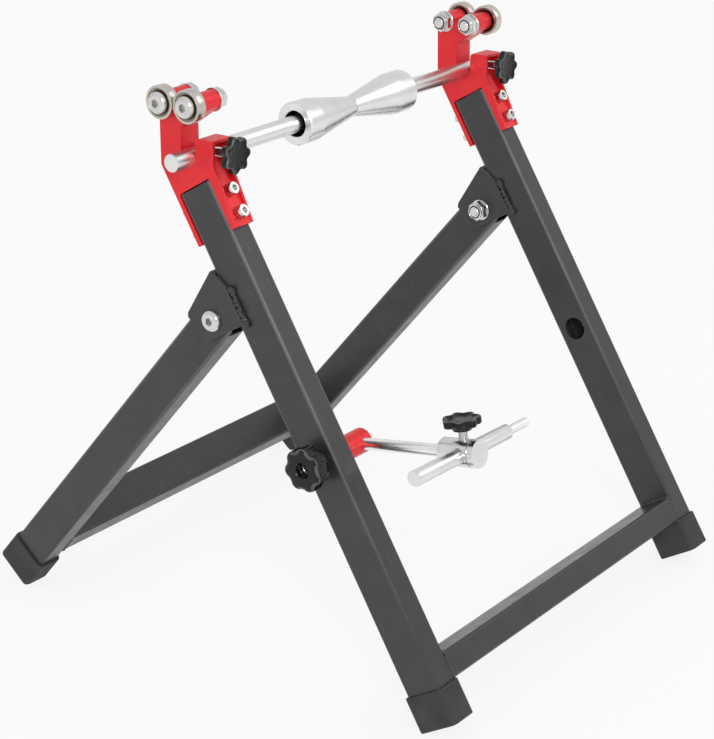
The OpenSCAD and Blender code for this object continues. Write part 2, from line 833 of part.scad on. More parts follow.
// The swivel clamp: a turned bar with the screw's bore and the rod's cross hole
module swivel_clamp() color(red) at_arm() difference() {
    translate([swivel_x - arm_x, 0, 0]) rotate([0, 90, 0]) cylinder(d = swivel_d, h = swivel_len);
    translate([swivel_x - arm_x - cut, 0, 0]) rotate([0, 90, 0])
        cylinder(r = large_screw_d / 2 + running_fit, h = arm_x - swivel_x + cut);
    rod_y(arm_rod_d / 2 + running_fit, -swivel_d, 2 * swivel_d);
}

module arm_rod() color(bright) at_arm()
    rod_y(arm_rod_d / 2, -block_reach - rod_socket, arm_back + block_reach + rod_socket);

// The pointer block: a turned bar with a groove, the rod's socket, and two cross bores
module pointer_block() color(bright) at_block() difference() {
    rod_y(block_d / 2, -block_reach - block_len, block_len);
    difference() {
        rod_y(block_d, -block_reach - groove_at - groove_w, groove_w);
        rod_y(block_d / 2 - groove_depth, -block_reach - block_len, block_len);
    }
    rod_y(arm_rod_d / 2 + running_fit, -block_reach - rod_socket - tip_play, block_len);
    translate([0, -pointer_reach, 0]) {
        rod_x(pointer_d / 2 + running_fit, 2 * block_d);
        cylinder(r = small_screw_d / 2 + running_fit, h = block_d);
    }
}

module pointer_rod() color(bright) at_pointer() difference() {
    translate([-pointer_out, 0, 0]) rotate([0, 90, 0]) cylinder(d = pointer_d, h = pointer_len);
    translate([pointer_len - pointer_out - tip_socket, 0, 0]) rotate([0, 90, 0])
        cylinder(r = tip_d / 2, h = tip_socket + cut);
}

module pointer_tip() color(zinc) at_pointer()
    translate([pointer_len - pointer_out - tip_socket, 0, 0]) rotate([0, 90, 0])
        cylinder(r = tip_d / 2 - bolt_play, h = tip_socket + tip_len);

pointer_screw_top = block_d / 2 + pointer_stem;

module pointer_stud() color(zinc) at_pointer() translate([0, 0, pointer_d / 2 + tip_play])
    cylinder(d = small_screw_d, h = pointer_screw_top + knob_grip - pointer_d / 2 - 2 * tip_play);

module pointer_knob() color(plastic) at_pointer() translate([0, 0, pointer_screw_top])
    star_knob(small_knob_d, hub_h, small_lobe_h, small_screw_d, small_knob_d * 0.5, dish_depth);

left_upright();
right_upright();
front_crossbar();
left_clevis();
right_clevis();
left_front_foot();
right_front_foot();
left_rear_leg();
right_rear_leg();
rear_crossbar();
left_rear_foot();
right_rear_foot();
pivot_bolts();
pivot_washers();
pivot_nuts();
left_roller_bracket();
right_roller_bracket();
bracket_bolts();
bracket_washers();
bracket_nuts();
roller_bolts();
roller_washers();
roller_nuts();
inner_rings();
left_front_roller();
left_rear_roller();
right_front_roller();
right_rear_roller();
left_front_shields();
left_rear_shields();
right_front_shields();
right_rear_shields();
left_front_balls();
left_rear_balls();
right_front_balls();
right_rear_balls();
shaft();
left_cone();
right_cone();
left_cone_screw();
right_cone_screw();
left_clamp_stud();
left_clamp_knob();
right_clamp_stud();
right_clamp_knob();
swivel_stud();
swivel_knob();
swivel_clamp();
arm_rod();
pointer_block();
pointer_rod();
pointer_tip();
pointer_stud();
pointer_knob();
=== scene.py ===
import json
import math

import bpy
from mathutils import Euler, Matrix, Vector


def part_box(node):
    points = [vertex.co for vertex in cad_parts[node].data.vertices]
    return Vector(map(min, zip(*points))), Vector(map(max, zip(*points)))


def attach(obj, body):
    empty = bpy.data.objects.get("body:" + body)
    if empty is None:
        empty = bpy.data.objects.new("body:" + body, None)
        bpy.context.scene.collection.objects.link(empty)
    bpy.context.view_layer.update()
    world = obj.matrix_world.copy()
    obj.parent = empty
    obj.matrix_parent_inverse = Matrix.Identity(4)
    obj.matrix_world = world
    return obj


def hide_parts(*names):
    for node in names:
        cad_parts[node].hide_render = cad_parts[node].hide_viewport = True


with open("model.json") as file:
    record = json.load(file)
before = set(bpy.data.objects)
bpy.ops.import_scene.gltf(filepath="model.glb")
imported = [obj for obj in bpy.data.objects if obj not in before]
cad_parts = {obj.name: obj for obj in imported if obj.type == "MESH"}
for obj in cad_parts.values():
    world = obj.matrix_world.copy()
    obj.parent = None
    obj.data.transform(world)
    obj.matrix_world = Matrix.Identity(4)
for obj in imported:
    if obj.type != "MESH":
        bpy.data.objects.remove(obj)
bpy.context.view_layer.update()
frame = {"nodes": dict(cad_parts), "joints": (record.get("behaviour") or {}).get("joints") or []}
nodes = frame["nodes"]
jointAt = {j["name"]: Vector(j["pos_m"]) for j in frame["joints"] if j.get("pos_m")}
print("frame loaded:", len(nodes), "nodes")

mm = 0.001
# an edge that turns by more degrees than this is softened
sharpAngle = 32

# the stand's own slopes and places, in mm and degrees
stand = {
    "uprightX": 155, "innerWall": 146, "lean": 30.6, "tubeTop": (-9.842, 335.379), "splay": 40.6,
    "cheekEdge": 22.3, "cheekLow": -91.7,
}
leanTurn = math.radians(stand["lean"])
upAlong = Vector((0, math.sin(leanTurn), math.cos(leanTurn)))
backAlong = Vector((0, math.cos(leanTurn), -math.sin(leanTurn)))
splayTurn = math.radians(stand["splay"])
legAlong = Vector((0, -math.sin(splayTurn), math.cos(splayTurn)))
legBack = Vector((0, math.cos(splayTurn), math.sin(splayTurn)))


def onUpright(side, across, back, up):
    top = Vector((side * stand["uprightX"], *stand["tubeTop"]))
    return (top + Vector((across, 0, 0)) + backAlong * back + upAlong * up) * mm


def boxMiddle(node):
    low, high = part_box(node)
    return (Vector(low) + Vector(high)) / 2


# small hand tools

def pick(*things):
    bpy.ops.object.select_all(action="DESELECT")
    for thing in things:
        thing.select_set(True)
    bpy.context.view_layer.objects.active = things[0]


def editAll(piece):
    pick(piece)
    bpy.ops.object.mode_set(mode="EDIT")
    bpy.ops.mesh.select_all(action="SELECT")


def editDone():
    bpy.ops.object.mode_set(mode="OBJECT")


def choose(piece, test):
    # edit mode with just those vertices selected whose place, in mm, passes the test
    editAll(piece)
    bpy.ops.mesh.select_all(action="DESELECT")
    editDone()
    for vertex in piece.data.vertices:
        vertex.select = test(*(vertex.co / mm))
    bpy.ops.object.mode_set(mode="EDIT")


def applied(piece, kind, **settings):
    pick(piece)
    bpy.ops.object.modifier_add(type=kind)
    modifier = piece.modifiers[-1]
    for key, value in settings.items():
        setattr(modifier, key, value)
    bpy.ops.object.modifier_apply(modifier=modifier.name)


def cutWith(piece, tool, how="DIFFERENCE"):
    applied(piece, "BOOLEAN", object=tool, operation=how, solver="EXACT")
    bpy.data.objects.remove(tool)


def softEdges(piece, width, angle=sharpAngle):
    applied(piece, "BEVEL", width=width * mm, segments=2, limit_method="ANGLE",
            angle_limit=math.radians(angle), use_clamp_overlap=True)


def softLongEdges(piece, width, shortest):
    # bevels the sharp edges, but not the short ones round a hole
    editAll(piece)
    bpy.ops.mesh.select_mode(type="EDGE")
    bpy.ops.mesh.select_all(action="DESELECT")
    bpy.ops.mesh.edges_select_sharp(sharpness=math.radians(sharpAngle))
    editDone()
    for edge in piece.data.edges:
        start, end = (piece.data.vertices[place].co for place in edge.vertices)
        if (end - start).length < shortest * mm:
            edge.select = False
    bpy.ops.object.mode_set(mode="EDIT")
    bpy.ops.mesh.bevel(offset=width * mm, segments=2, affect="EDGES", clamp_overlap=False)
    bpy.ops.mesh.select_mode(type="VERT")
    editDone()


def smoothed(piece, angle=38):
    editAll(piece)
    bpy.ops.mesh.remove_doubles(threshold=1.5e-6)
    bpy.ops.mesh.dissolve_degenerate(threshold=1e-6)
    editDone()
    bpy.ops.object.shade_smooth_by_angle(angle=math.radians(angle))


def joined(name, pieces):
    pick(*pieces)
    bpy.ops.object.join()
    whole = bpy.context.object
    whole.name = name
    return whole


def copied(piece, name):
    twin = piece.copy()
    twin.data = piece.data.copy()
    twin.name = name
    bpy.context.collection.objects.link(twin)
    return twin


def placed(piece, where, along, sideways=None):
    # the piece's Z goes along, its X sideways where that is given
    zAxis = Vector(along).normalized()
    if sideways is None:
        turn = zAxis.to_track_quat("Z", "Y").to_matrix()
    else:
        xAxis = Vector(sideways).normalized()
        turn = Matrix((xAxis, zAxis.cross(xAxis), zAxis)).transposed()
    piece.matrix_world = Matrix.Translation(where) @ turn.to_4x4()
    pick(piece)
    bpy.ops.object.transform_apply(location=True, rotation=True, scale=True)
    return piece


def drawn(name, profile):
    # a line through points of (radius, height) in mm, left in edit mode
    bpy.ops.object.select_all(action="DESELECT")
    bpy.ops.mesh.primitive_plane_add(size=0.001)
    piece = bpy.context.object
    piece.name = name
    bpy.ops.object.mode_set(mode="EDIT")
    bpy.ops.mesh.select_all(action="SELECT")
    bpy.ops.mesh.merge(type="CENTER")
    bpy.ops.transform.translate(value=(profile[0][0] * mm, 0, profile[0][1] * mm))
    for (r0, z0), (r1, z1) in zip(profile, profile[1:]):
        bpy.ops.mesh.extrude_vertices_move(
            TRANSFORM_OT_translate={"value": ((r1 - r0) * mm, 0, (z1 - z0) * mm)})
    return piece


def turned(name, profile, steps):
    # the profile spun round Z; a ring's profile ends where it starts
    piece = drawn(name, profile)
    bpy.ops.mesh.select_all(action="SELECT")
    bpy.ops.mesh.spin(steps=steps, angle=math.tau, center=(0, 0, 0), axis=(0, 0, 1))
    bpy.ops.mesh.select_all(action="SELECT")
    bpy.ops.mesh.remove_doubles(threshold=2e-6)
    bpy.ops.mesh.normals_make_consistent(inside=False)
    editDone()
    return piece


def prism(name, corners, across, low, high):
    # a bar with flats, its size measured across them
    bpy.ops.object.select_all(action="DESELECT")
    radius = across / 2 / math.cos(math.pi / corners)
    bpy.ops.mesh.primitive_cylinder_add(vertices=corners, radius=radius * mm, depth=(high - low) * mm,
                                        location=(0, 0, (low + high) / 2 * mm))
    bar = bpy.context.object
    bar.name = name
    bpy.ops.object.transform_apply(location=True, rotation=True, scale=True)
    return bar


def threadedBar(name, bar):
    # a screw thread along Z from 0, cut flat at both ends
    minor, major, pitch = bar["radius"] - bar["depth"], bar["radius"], bar["pitch"]
    tooth = [(minor, 0), (minor, 0.14), (major, 0.42), (major, 0.58), (minor, 0.86), (minor, 1)]
    # turns below the first cut, not a whole number, so that no edge lies in the cut
    lead = 2.0137
    piece = drawn(name, [(radius, (height - lead) * pitch) for radius, height in tooth])
    editDone()
    turns = math.ceil(bar["length"] / pitch) + 4
    applied(piece, "SCREW", axis="Z", screw_offset=pitch * mm, iterations=turns, steps=bar["steps"],
            render_steps=bar["steps"], use_merge_vertices=False)
    editAll(piece)
    bpy.ops.mesh.remove_doubles(threshold=2e-6)
    bpy.ops.mesh.select_all(action="SELECT")
    bpy.ops.mesh.bisect(plane_co=(0, 0, 0), plane_no=(0, 0, 1), clear_inner=True)
    bpy.ops.mesh.select_all(action="SELECT")
    bpy.ops.mesh.bisect(plane_co=(0, 0, bar["length"] * mm), plane_no=(0, 0, 1), clear_outer=True)
    bpy.ops.mesh.select_all(action="SELECT")
    bpy.ops.mesh.remove_doubles(threshold=1.5e-6)
    bpy.ops.mesh.fill_holes(sides=0)
    bpy.ops.mesh.select_all(action="SELECT")
    bpy.ops.mesh.normals_make_consistent(inside=False)
    editDone()
    smoothed(piece, 50)
    return piece


def softCopy(node, name, width, whole=True):
    # a face with several holes in it keeps its triangles
    piece = bpy.data.objects.new(name, nodes[node].data.copy())
    bpy.context.collection.objects.link(piece)
    editAll(piece)
    bpy.ops.mesh.remove_doubles(threshold=1e-6)
    bpy.ops.mesh.customdata_custom_splitnormals_clear()
    if whole:
        bpy.ops.mesh.dissolve_limited(angle_limit=math.radians(0.4))
    editDone()
    if whole:
        softEdges(piece, width)
    else:
        softLongEdges(piece, width, shortest=0.9)
    smoothed(piece)
    applied(piece, "WEIGHTED_NORMAL", mode="FACE_AREA", weight=100, keep_sharp=True)
    return piece


def markHighlightCorners(piece, back, largest=400):
    # small faces that lie between the tube's flats are its corners and cut edges; they are marked for a
    # painted highlight
    mark = piece.data.attributes.new("paintedEdgeHighlight", "FLOAT", "FACE")
    middle = sum((corner.co for corner in piece.data.vertices), Vector()) / len(piece.data.vertices)
    for face in piece.data.polygons:
        tilt = abs(face.normal.dot(back))
        outside = face.normal.dot(face.center - middle) > 0
        mark.data[face.index].value = outside and 0.03 < tilt < 0.985 and face.area < largest * mm * mm
    return piece


def wears(piece, finish):
    piece.data.materials.clear()
    piece.data.materials.append(finish)


def settle(piece, body, slotName, finish, *standsFor):
    wears(piece, finish)
    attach(piece, body)
    if standsFor:
        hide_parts(*standsFor)


# finishes

class Finish:
    def __init__(self, name, **sockets):
        self.material = bpy.data.materials.new(name)
        self.material.use_nodes = True
        self.tree = self.material.node_tree
        self.shader = self.tree.nodes["Principled BSDF"]
        for socket, value in sockets.items():
            self.shader.inputs[socket.replace("_", " ")].default_value = value
        self.place = self.tree.nodes.new("ShaderNodeTexCoord").outputs["Object"]

    def add(self, kind, links=(), **inputs):
        made = self.tree.nodes.new("ShaderNode" + kind)
        for socket, value in inputs.items():
            made.inputs[socket.replace("_", " ")].default_value = value
        for socket, source in dict(links).items():
            self.tree.links.new(source, made.inputs[socket])
        return made

    def stretched(self, scale, turn=(0, 0, 0)):
        # the turn comes first
        tilted = self.add("Mapping", {"Vector": self.place}, Rotation=turn).outputs[0]
        return self.add("Mapping", {"Vector": tilted}, Scale=scale).outputs[0]

    def noise(self, scale, detail=3.0, rough=0.55, at=None):
        return self.add("TexNoise", {"Vector": at or self.place}, Scale=scale, Detail=detail,
                        Roughness=rough).outputs["Fac"]

    def ramp(self, source, *stops):
        made = self.add("ValToRGB", {"Fac": source})
        bands = made.color_ramp.elements
        while len(bands) < len(stops):
            bands.new(0.5)
        for band, (where, colour) in zip(bands, stops):
            band.position = where
            band.color = colour if len(colour) == 4 else (*colour, 1)
        return made.outputs["Color"]

    def grey(self, source, *stops):
        return self.ramp(source, *[(where, (v, v, v, 1)) for where, v in stops])

    def mixed(self, factor, first, second):
        made = self.add("MixRGB", {"Fac": factor, "Color1": first})
        if isinstance(second, tuple):
            made.inputs["Color2"].default_value = (*second, 1)
        else:
            self.tree.links.new(second, made.inputs["Color2"])
        return made.outputs[0]

    def times(self, first, second):
        made = self.add("MixRGB", {"Color1": first, "Color2": second}, Fac=1)
        made.blend_type = "MULTIPLY"
        return made.outputs[0]

    def edges(self, radius):
        # where the rounded normal leaves the flat one, there is an edge
        rounded = self.add("Bevel", Radius=radius * mm)
        rounded.samples = 4
        flat = self.add("NewGeometry").outputs["Normal"]
        dot = self.add("VectorMath")
        dot.operation = "DOT_PRODUCT"
        self.tree.links.new(rounded.outputs[0], dot.inputs[0])
        self.tree.links.new(flat, dot.inputs[1])
        return dot.outputs["Value"]

    def paintedEdgeLight(self, scale):
        # the corners marked on the mesh, lightened unevenly: a painted highlight
        corner = self.add("Attribute")
        corner.attribute_name = "paintedEdgeHighlight"
        patchy = self.grey(self.noise(scale, 4), (0.3, 0.45), (0.6, 1))
        return self.times(corner.outputs["Fac"], patchy)

    def set(self, **sockets):
        for socket, source in sockets.items():
            self.tree.links.new(source, self.shader.inputs[socket.replace("_", " ")])

    def bump(self, height, strength, distance, under=None):
        made = self.add("Bump", {"Height": height}, Strength=strength, Distance=distance * mm)
        if under:
            self.tree.links.new(under, made.inputs["Normal"])
        return made.outputs[0]


def makePowderCoat(name, rough):
    coat = Finish(name, Specular_IOR_Level=0.5)
    mottle = coat.ramp(coat.noise(42, 5), (0.3, (0.027, 0.027, 0.028)), (0.72, (0.038, 0.038, 0.039)))
    # short fine scratches, leaning two ways
    firstWay = coat.noise(1, 2, 0.5, coat.stretched((2000, 70, 50), (0.2, 0.5, 0.8)))
    secondWay = coat.noise(1, 2, 0.5, coat.stretched((1600, 60, 45), (0.3, -0.3, -0.7)))
    scratched = coat.mixed(coat.grey(secondWay, (0.72, 0), (0.76, 0.6)), mottle, (0.11, 0.11, 0.108))
    scratched = coat.mixed(coat.grey(firstWay, (0.72, 0), (0.76, 0.8)), scratched, (0.13, 0.13, 0.128))
    # lighter on the edges, in patches: rubbed coat, and partly a painted edge highlight
    edgeMask = coat.grey(coat.edges(1.1), (0.80, 0.75), (0.97, 0))
    patchy = coat.grey(coat.noise(70, 4), (0.42, 0), (0.62, 1))
    edged = coat.mixed(coat.times(edgeMask, patchy), scratched, (0.15, 0.148, 0.145))
    # the marked corners get a painted highlight, only higher up: none below 6 cm, full above 25 cm
    height = coat.add("SeparateXYZ", {"Vector": coat.place}).outputs["Z"]
    cornerHighlighted = coat.mixed(coat.paintedEdgeLight(26), edged, (0.115, 0.115, 0.113))
    coat.set(Base_Color=coat.mixed(coat.grey(height, (0.06, 0), (0.25, 1)), edged, cornerHighlighted),
             Roughness=coat.grey(coat.noise(90, 4), (0.3, rough[0]), (0.75, rough[1])))
    peel = coat.bump(coat.noise(1150, 2), 0.12, 0.25)
    coat.set(Normal=coat.bump(coat.noise(240, 2), 0.04, 0.6, peel))
    return coat.material


def makeRubber():
    rubber = Finish("capRubber", Specular_IOR_Level=0.32)
    dust = rubber.ramp(rubber.noise(65, 5), (0.32, (0.036, 0.036, 0.035)), (0.75, (0.066, 0.065, 0.061)))
    edgeMask = rubber.grey(rubber.edges(1.6), (0.78, 0.6), (0.97, 0))
    rubber.set(Base_Color=rubber.mixed(edgeMask, dust, (0.10, 0.098, 0.094)),
               Roughness=rubber.grey(rubber.noise(130), (0.3, 0.62), (0.7, 0.82)))
    rubber.set(Normal=rubber.bump(rubber.noise(1700, 3), 0.3, 0.25))
    return rubber.material


def makeRedAnodise():
    red = Finish("redAnodise", Metallic=0.3)
    tone = red.ramp(red.noise(55, 4), (0.3, (0.74, 0.014, 0.022)), (0.7, (0.84, 0.022, 0.030)))
    edgeMask = red.grey(red.edges(0.5), (0.82, 0.8), (0.98, 0))
    patchy = red.grey(red.noise(160, 4), (0.5, 0), (0.66, 1))
    red.set(Base_Color=red.mixed(red.times(edgeMask, patchy), tone, (0.80, 0.30, 0.28)),
            Roughness=red.grey(red.noise(180, 4), (0.3, 0.30), (0.75, 0.44)))
    streak = red.noise(60, 3, 0.6, red.stretched((1.5, 26, 26)))
    red.set(Normal=red.bump(streak, 0.07, 0.25, red.bump(red.noise(2400, 2), 0.07, 0.12)))
    return red.material


def makeMetal(name, dark, light, rough, grain, streaks=(1, 1, 1), spots=None):
    metal = Finish(name, Metallic=1.0)
    tone = metal.ramp(metal.noise(85, 5), (0.3, dark), (0.72, light))
    if spots:
        tone = metal.mixed(metal.grey(metal.noise(240, 5), (0.62, 0), (0.76, 0.7)), tone, spots)
    metal.set(Base_Color=tone,
              Roughness=metal.grey(metal.noise(150, 4), (0.3, rough[0]), (0.75, rough[1])))
    fine = metal.noise(grain, 3, 0.6, metal.stretched(streaks))
    metal.set(Normal=metal.bump(fine, 0.05, 0.10))
    return metal.material


def makeTurned(name, dark, light, rough, pitch, ringDepth):
    # turning rings that run round X
    metal = Finish(name, Metallic=1.0)
    tone = metal.ramp(metal.noise(70, 5), (0.3, dark), (0.72, light))
    # a wave of scale 0.314 has one ring to a metre
    rings = metal.add("TexWave", {"Vector": metal.place}, Scale=0.314 / (pitch * mm), Distortion=0.6,
                      Detail=2.0, Detail_Scale=1.5)
    band = metal.noise(260, 3, 0.6, metal.stretched((6, 0.15, 0.15)))
    metal.set(Base_Color=tone, Roughness=metal.grey(band, (0.3, rough[0]), (0.7, rough[1])))
    metal.set(Normal=metal.bump(rings.outputs["Fac"], ringDepth, 0.05, metal.bump(band, 0.025, 0.05)))
    return metal.material


def makePlastic():
    plastic = Finish("mouldedPlastic", Specular_IOR_Level=0.3)
    tone = plastic.ramp(plastic.noise(90, 4), (0.3, (0.004, 0.004, 0.004)), (0.75, (0.008, 0.008, 0.008)))
    # painted highlight: the edges and the marked rim of the knob are lightened
    edgeMask = plastic.grey(plastic.edges(0.8), (0.76, 0.8), (0.97, 0))
    edgeHighlighted = plastic.mixed(edgeMask, tone, (0.06, 0.06, 0.06))
    plastic.set(Base_Color=plastic.mixed(plastic.paintedEdgeLight(160), edgeHighlighted, (0.11, 0.11, 0.108)),
                Roughness=plastic.grey(plastic.noise(210, 3), (0.3, 0.16), (0.75, 0.26)))
    plastic.set(Normal=plastic.bump(plastic.noise(2600, 2), 0.10, 0.12))
    return plastic.material


def makeNylon():
    nylon = Finish("nylonRing", Specular_IOR_Level=0.4)
    tone = nylon.ramp(nylon.noise(300), (0.3, (0.014, 0.018, 0.026)), (0.7, (0.026, 0.032, 0.044)))
    nylon.set(Base_Color=tone,
              Roughness=nylon.grey(nylon.noise(500), (0.3, 0.45), (0.7, 0.6)))
    nylon.set(Normal=nylon.bump(nylon.noise(1500, 2), 0.15, 0.2))
    return nylon.material


powderCoat = makePowderCoat("powderCoat", (0.29, 0.40))
weldCoat = makePowderCoat("weldCoat", (0.12, 0.22))
capRubber = makeRubber()
redAnodise = makeRedAnodise()
mouldedPlastic = makePlastic()
nylonRing = makeNylon()
zincPlate = makeMetal("zincPlate", (0.58, 0.58, 0.57), (0.76, 0.76, 0.75), (0.14, 0.26), 900,
                      spots=(0.42, 0.42, 0.41))
bearingSteel = makeMetal("bearingSteel", (0.50, 0.47, 0.42), (0.68, 0.65, 0.60), (0.16, 0.30), 1300,
                         (3, 0.4, 0.4))
shieldSteel = makeMetal("shieldSteel", (0.27, 0.23, 0.17), (0.38, 0.33, 0.26), (0.26, 0.40), 1500)
boltSteel = makeMetal("boltSteel", (0.60, 0.59, 0.58), (0.78, 0.77, 0.76), (0.14, 0.26), 1100,
                      spots=(0.44, 0.43, 0.42))
oxideSteel = makeMetal("oxideSteel", (0.020, 0.020, 0.022), (0.040, 0.040, 0.042), (0.36, 0.5), 900)
groundSteel = makeTurned("groundSteel", (0.74, 0.74, 0.74), (0.83, 0.83, 0.82), (0.27, 0.36), 0.5, 0.004)
rodSteel = makeMetal("rodSteel", (0.87, 0.87, 0.86), (0.94, 0.94, 0.93), (0.22, 0.32), 420, (12, 0.6, 12))
turnedAluminium = makeTurned("turnedAluminium", (0.74, 0.74, 0.74), (0.83, 0.83, 0.825), (0.24, 0.32),
                             0.45, 0.008)
blockSteel = makeMetal("blockSteel", (0.70, 0.70, 0.69), (0.80, 0.80, 0.79), (0.18, 0.28), 700, (0.5, 8, 0.5))
print("finishes made")


# tubes, caps, clevises and brackets, from the CAD shapes

# widths of the softened edges, in mm
softening = {"tube": 0.25, "cap": 0.9, "clevis": 0.35, "bracket": 0.3, "swivel": 0.5, "block": 0.45}

for node in ("left_upright", "right_upright", "front_crossbar"):
    tube = markHighlightCorners(softCopy(node, node + "_tube", softening["tube"]), backAlong)
    settle(tube, "front_frame", "black_coat", powderCoat, node)
for node in ("left_rear_leg", "right_rear_leg", "rear_crossbar"):
    tube = markHighlightCorners(softCopy(node, node + "_tube", softening["tube"]), legBack)
    settle(tube, "rear_frame", "black_coat", powderCoat, node)
for side in ("left", "right"):
    cap = softCopy(side + "_front_foot", side + "FrontCap", softening["cap"])
    settle(cap, "front_frame", "rubber", capRubber, side + "_front_foot")
    cap = softCopy(side + "_rear_foot", side + "RearCap", softening["cap"])
    settle(cap, "rear_frame", "rubber", capRubber, side + "_rear_foot")
    clevis = markHighlightCorners(softCopy(side + "_clevis", side + "Clevis", softening["clevis"]), backAlong)
    settle(clevis, "front_frame", "black_coat", powderCoat, side + "_clevis")
    bracket = softCopy(side + "_roller_bracket", side + "Bracket", softening["bracket"], whole=False)
    settle(bracket, "front_frame", "red_anodised", redAnodise, side + "_roller_bracket")
swivelBar = softCopy("swivel_clamp", "swivelBar", softening["swivel"])
settle(swivelBar, "swivel", "red_anodised", redAnodise, "swivel_clamp")
crossBlock = softCopy("pointer_block", "crossBlock", softening["block"])
settle(crossBlock, "block", "ground_steel", blockSteel, "pointer_block")
print("frame pieces done")


# roller bearings

# the profiles are (radius, height) in mm from the bearing's middle, the track's (height, depth)
bearing = {
    "od": 11.0, "half": 3.5, "chamfer": 0.4, "ease": 0.12, "lip": 9.3, "lipEase": 0.15, "lipDepth": 0.8,
    "land": 8.9,
    "track": ((-1.25, 0), (-0.6, 0.33), (0, 0.45), (0.6, 0.33), (1.25, 0)),
    "shield": ((9.12, 2.62), (9.12, 3.1), (8.95, 3.26), (8.7, 3.26), (8.5, 3.14), (8.0, 3.1), (7.82, 2.98),
               (7.78, 2.62), (9.12, 2.62)),
    "gapShade": ((9.25, 2.5), (9.25, 2.6), (7.7, 2.6), (7.5, 2.72), (6.5, 2.72), (6.45, 2.6), (6.45, 2.5),
             (9.25, 2.5)),
    "inner": ((4.25, 3.5), (5.85, 3.5), (6.09, 3.26), (6.09, 1.25), (5.75, 0.6), (5.63, 0), (5.75, -0.6),
              (6.09, -1.25), (6.09, -3.26), (5.85, -3.5), (4.25, -3.5), (4.01, -3.26), (4.01, 3.26),
              (4.25, 3.5)),
}


def outerRing():
    o, h, c, e = bearing["od"], bearing["half"], bearing["chamfer"], bearing["ease"]
    lip, lipEase, land = bearing["lip"], bearing["lipEase"], bearing["land"]
    inside = h - bearing["lipDepth"]
    profile = [(lip + lipEase, h), (o - c, h), (o - e, h - e), (o, h - c), (o, c - h), (o - e, e - h),
               (o - c, -h), (lip + lipEase, -h), (lip, lipEase - h), (lip, -inside), (land, -inside)]
    profile += [(land + depth, height) for height, depth in bearing["track"]]
    profile += [(land, inside), (lip, inside), (lip, h - lipEase), (lip + lipEase, h)]
    piece = turned("outerRing", profile, 96)
    smoothed(piece, 25)
    return piece


def facePair(name, face, steps):
    # the same ring in both sides of the bearing
    near = turned(name + "Near", face, steps)
    far = turned(name + "Far", [(radius, -height) for radius, height in face], steps)
    return joined(name + "Pair", [near, far])


ringModel = outerRing()
# a pressed disc with a rolled rim
shieldModel = facePair("shield", bearing["shield"], 72)
smoothed(shieldModel, 30)
# a dark ring between each shield and the inner ring: painted shade in the gap
gapShadeModel = facePair("gapShade", bearing["gapShade"], 64)
innerModel = turned("innerRing", bearing["inner"], 64)
smoothed(innerModel, 30)
innerRings = []
for side, outward in (("left", -1), ("right", 1)):
    for place in ("front", "rear"):
        body = side + "_" + place + "_roller"
        middle = jointAt[body + "_spin"]
        ring = placed(copied(ringModel, body + "_ring"), middle, (outward, 0, 0))
        settle(ring, body, "bearing_steel", bearingSteel, body)
        pair = placed(copied(shieldModel, side + "_" + place + "_shieldPair"), middle, (outward, 0, 0))
        settle(pair, body, "shield_steel", shieldSteel, side + "_" + place + "_shields")
        # painted shade: a dark ring where the gap beside the shield is
        gapShades = placed(copied(gapShadeModel, side + "_" + place + "_gapShades"), middle, (outward, 0, 0))
        settle(gapShades, body, "shield_steel", oxideSteel)
        innerRings.append(placed(copied(innerModel, "inner"), middle, (outward, 0, 0)))
settle(joined("rollerInnerRings", innerRings), "front_frame", "bearing_steel", bearingSteel, "inner_rings")
for model in (ringModel, shieldModel, gapShadeModel, innerModel):
    bpy.data.objects.remove(model)
print("rollers done")


# bolts, washers and lock nuts

eightScrew = {"shank": 3.95, "head": 7.36, "headHeight": 3.6, "flat": 4.9, "socket": 5.0, "socketDepth": 3.6}
fiveScrew = {"shank": 2.45, "head": 4.25, "headHeight": 5.0, "socket": 4.0, "socketDepth": 4.2,
             "knurl": 0.972}
eightNut = {"flats": 13.0, "height": 7.2, "hexHeight": 4.9, "bore": 4.0, "collar": 5.95, "lip": 1.2}
fiveNut = {"flats": 8.125, "height": 4.5, "hexHeight": 3.06, "bore": 2.5, "collar": 3.74, "lip": 0.7}
eightRing = {"outer": 7.8, "inner": 4.05, "thick": 1.2}
fiveRing = {"outer": 4.87, "inner": 2.55, "thick": 1.2}
# length and grip are measured from under the head, to the end and to the washer
rollerSet = {"length": 34.8, "grip": 25.6, "nodes": ("roller_bolts", "roller_washers", "roller_nuts")}
pivotSet = {"length": 32.8, "grip": 23.6, "seat": 166.8,
            "nodes": ("pivot_bolts", "pivot_washers", "pivot_nuts")}
flangeSet = {"length": 44.0, "grip": 36.2, "seat": -4, "down": (10.5, 26.0),
             "nodes": ("bracket_bolts", "bracket_washers", "bracket_nuts")}


def buttonBolt(name, bolt, length):
    head, tall, flat, shank = bolt["head"], bolt["headHeight"], bolt["flat"], bolt["shank"]
    dome = []
    for step in range(7):
        turn = math.radians(90) * step / 6
        dome.append((flat + (head - flat) * math.cos(turn), 0.55 + (tall - 0.55) * math.sin(turn)))
    profile = [(0, -length), (shank - 0.7, -length), (shank, 0.7 - length), (shank, 0), (head - 0.15, 0),
               (head, 0.15)] + dome + [(0, tall)]
    piece = turned(name, profile, 72)
    cutWith(piece, prism("key", 6, bolt["socket"], tall - bolt["socketDepth"], tall + 2))
    softEdges(piece, 0.18, 40)
    smoothed(piece, 35)
    return piece


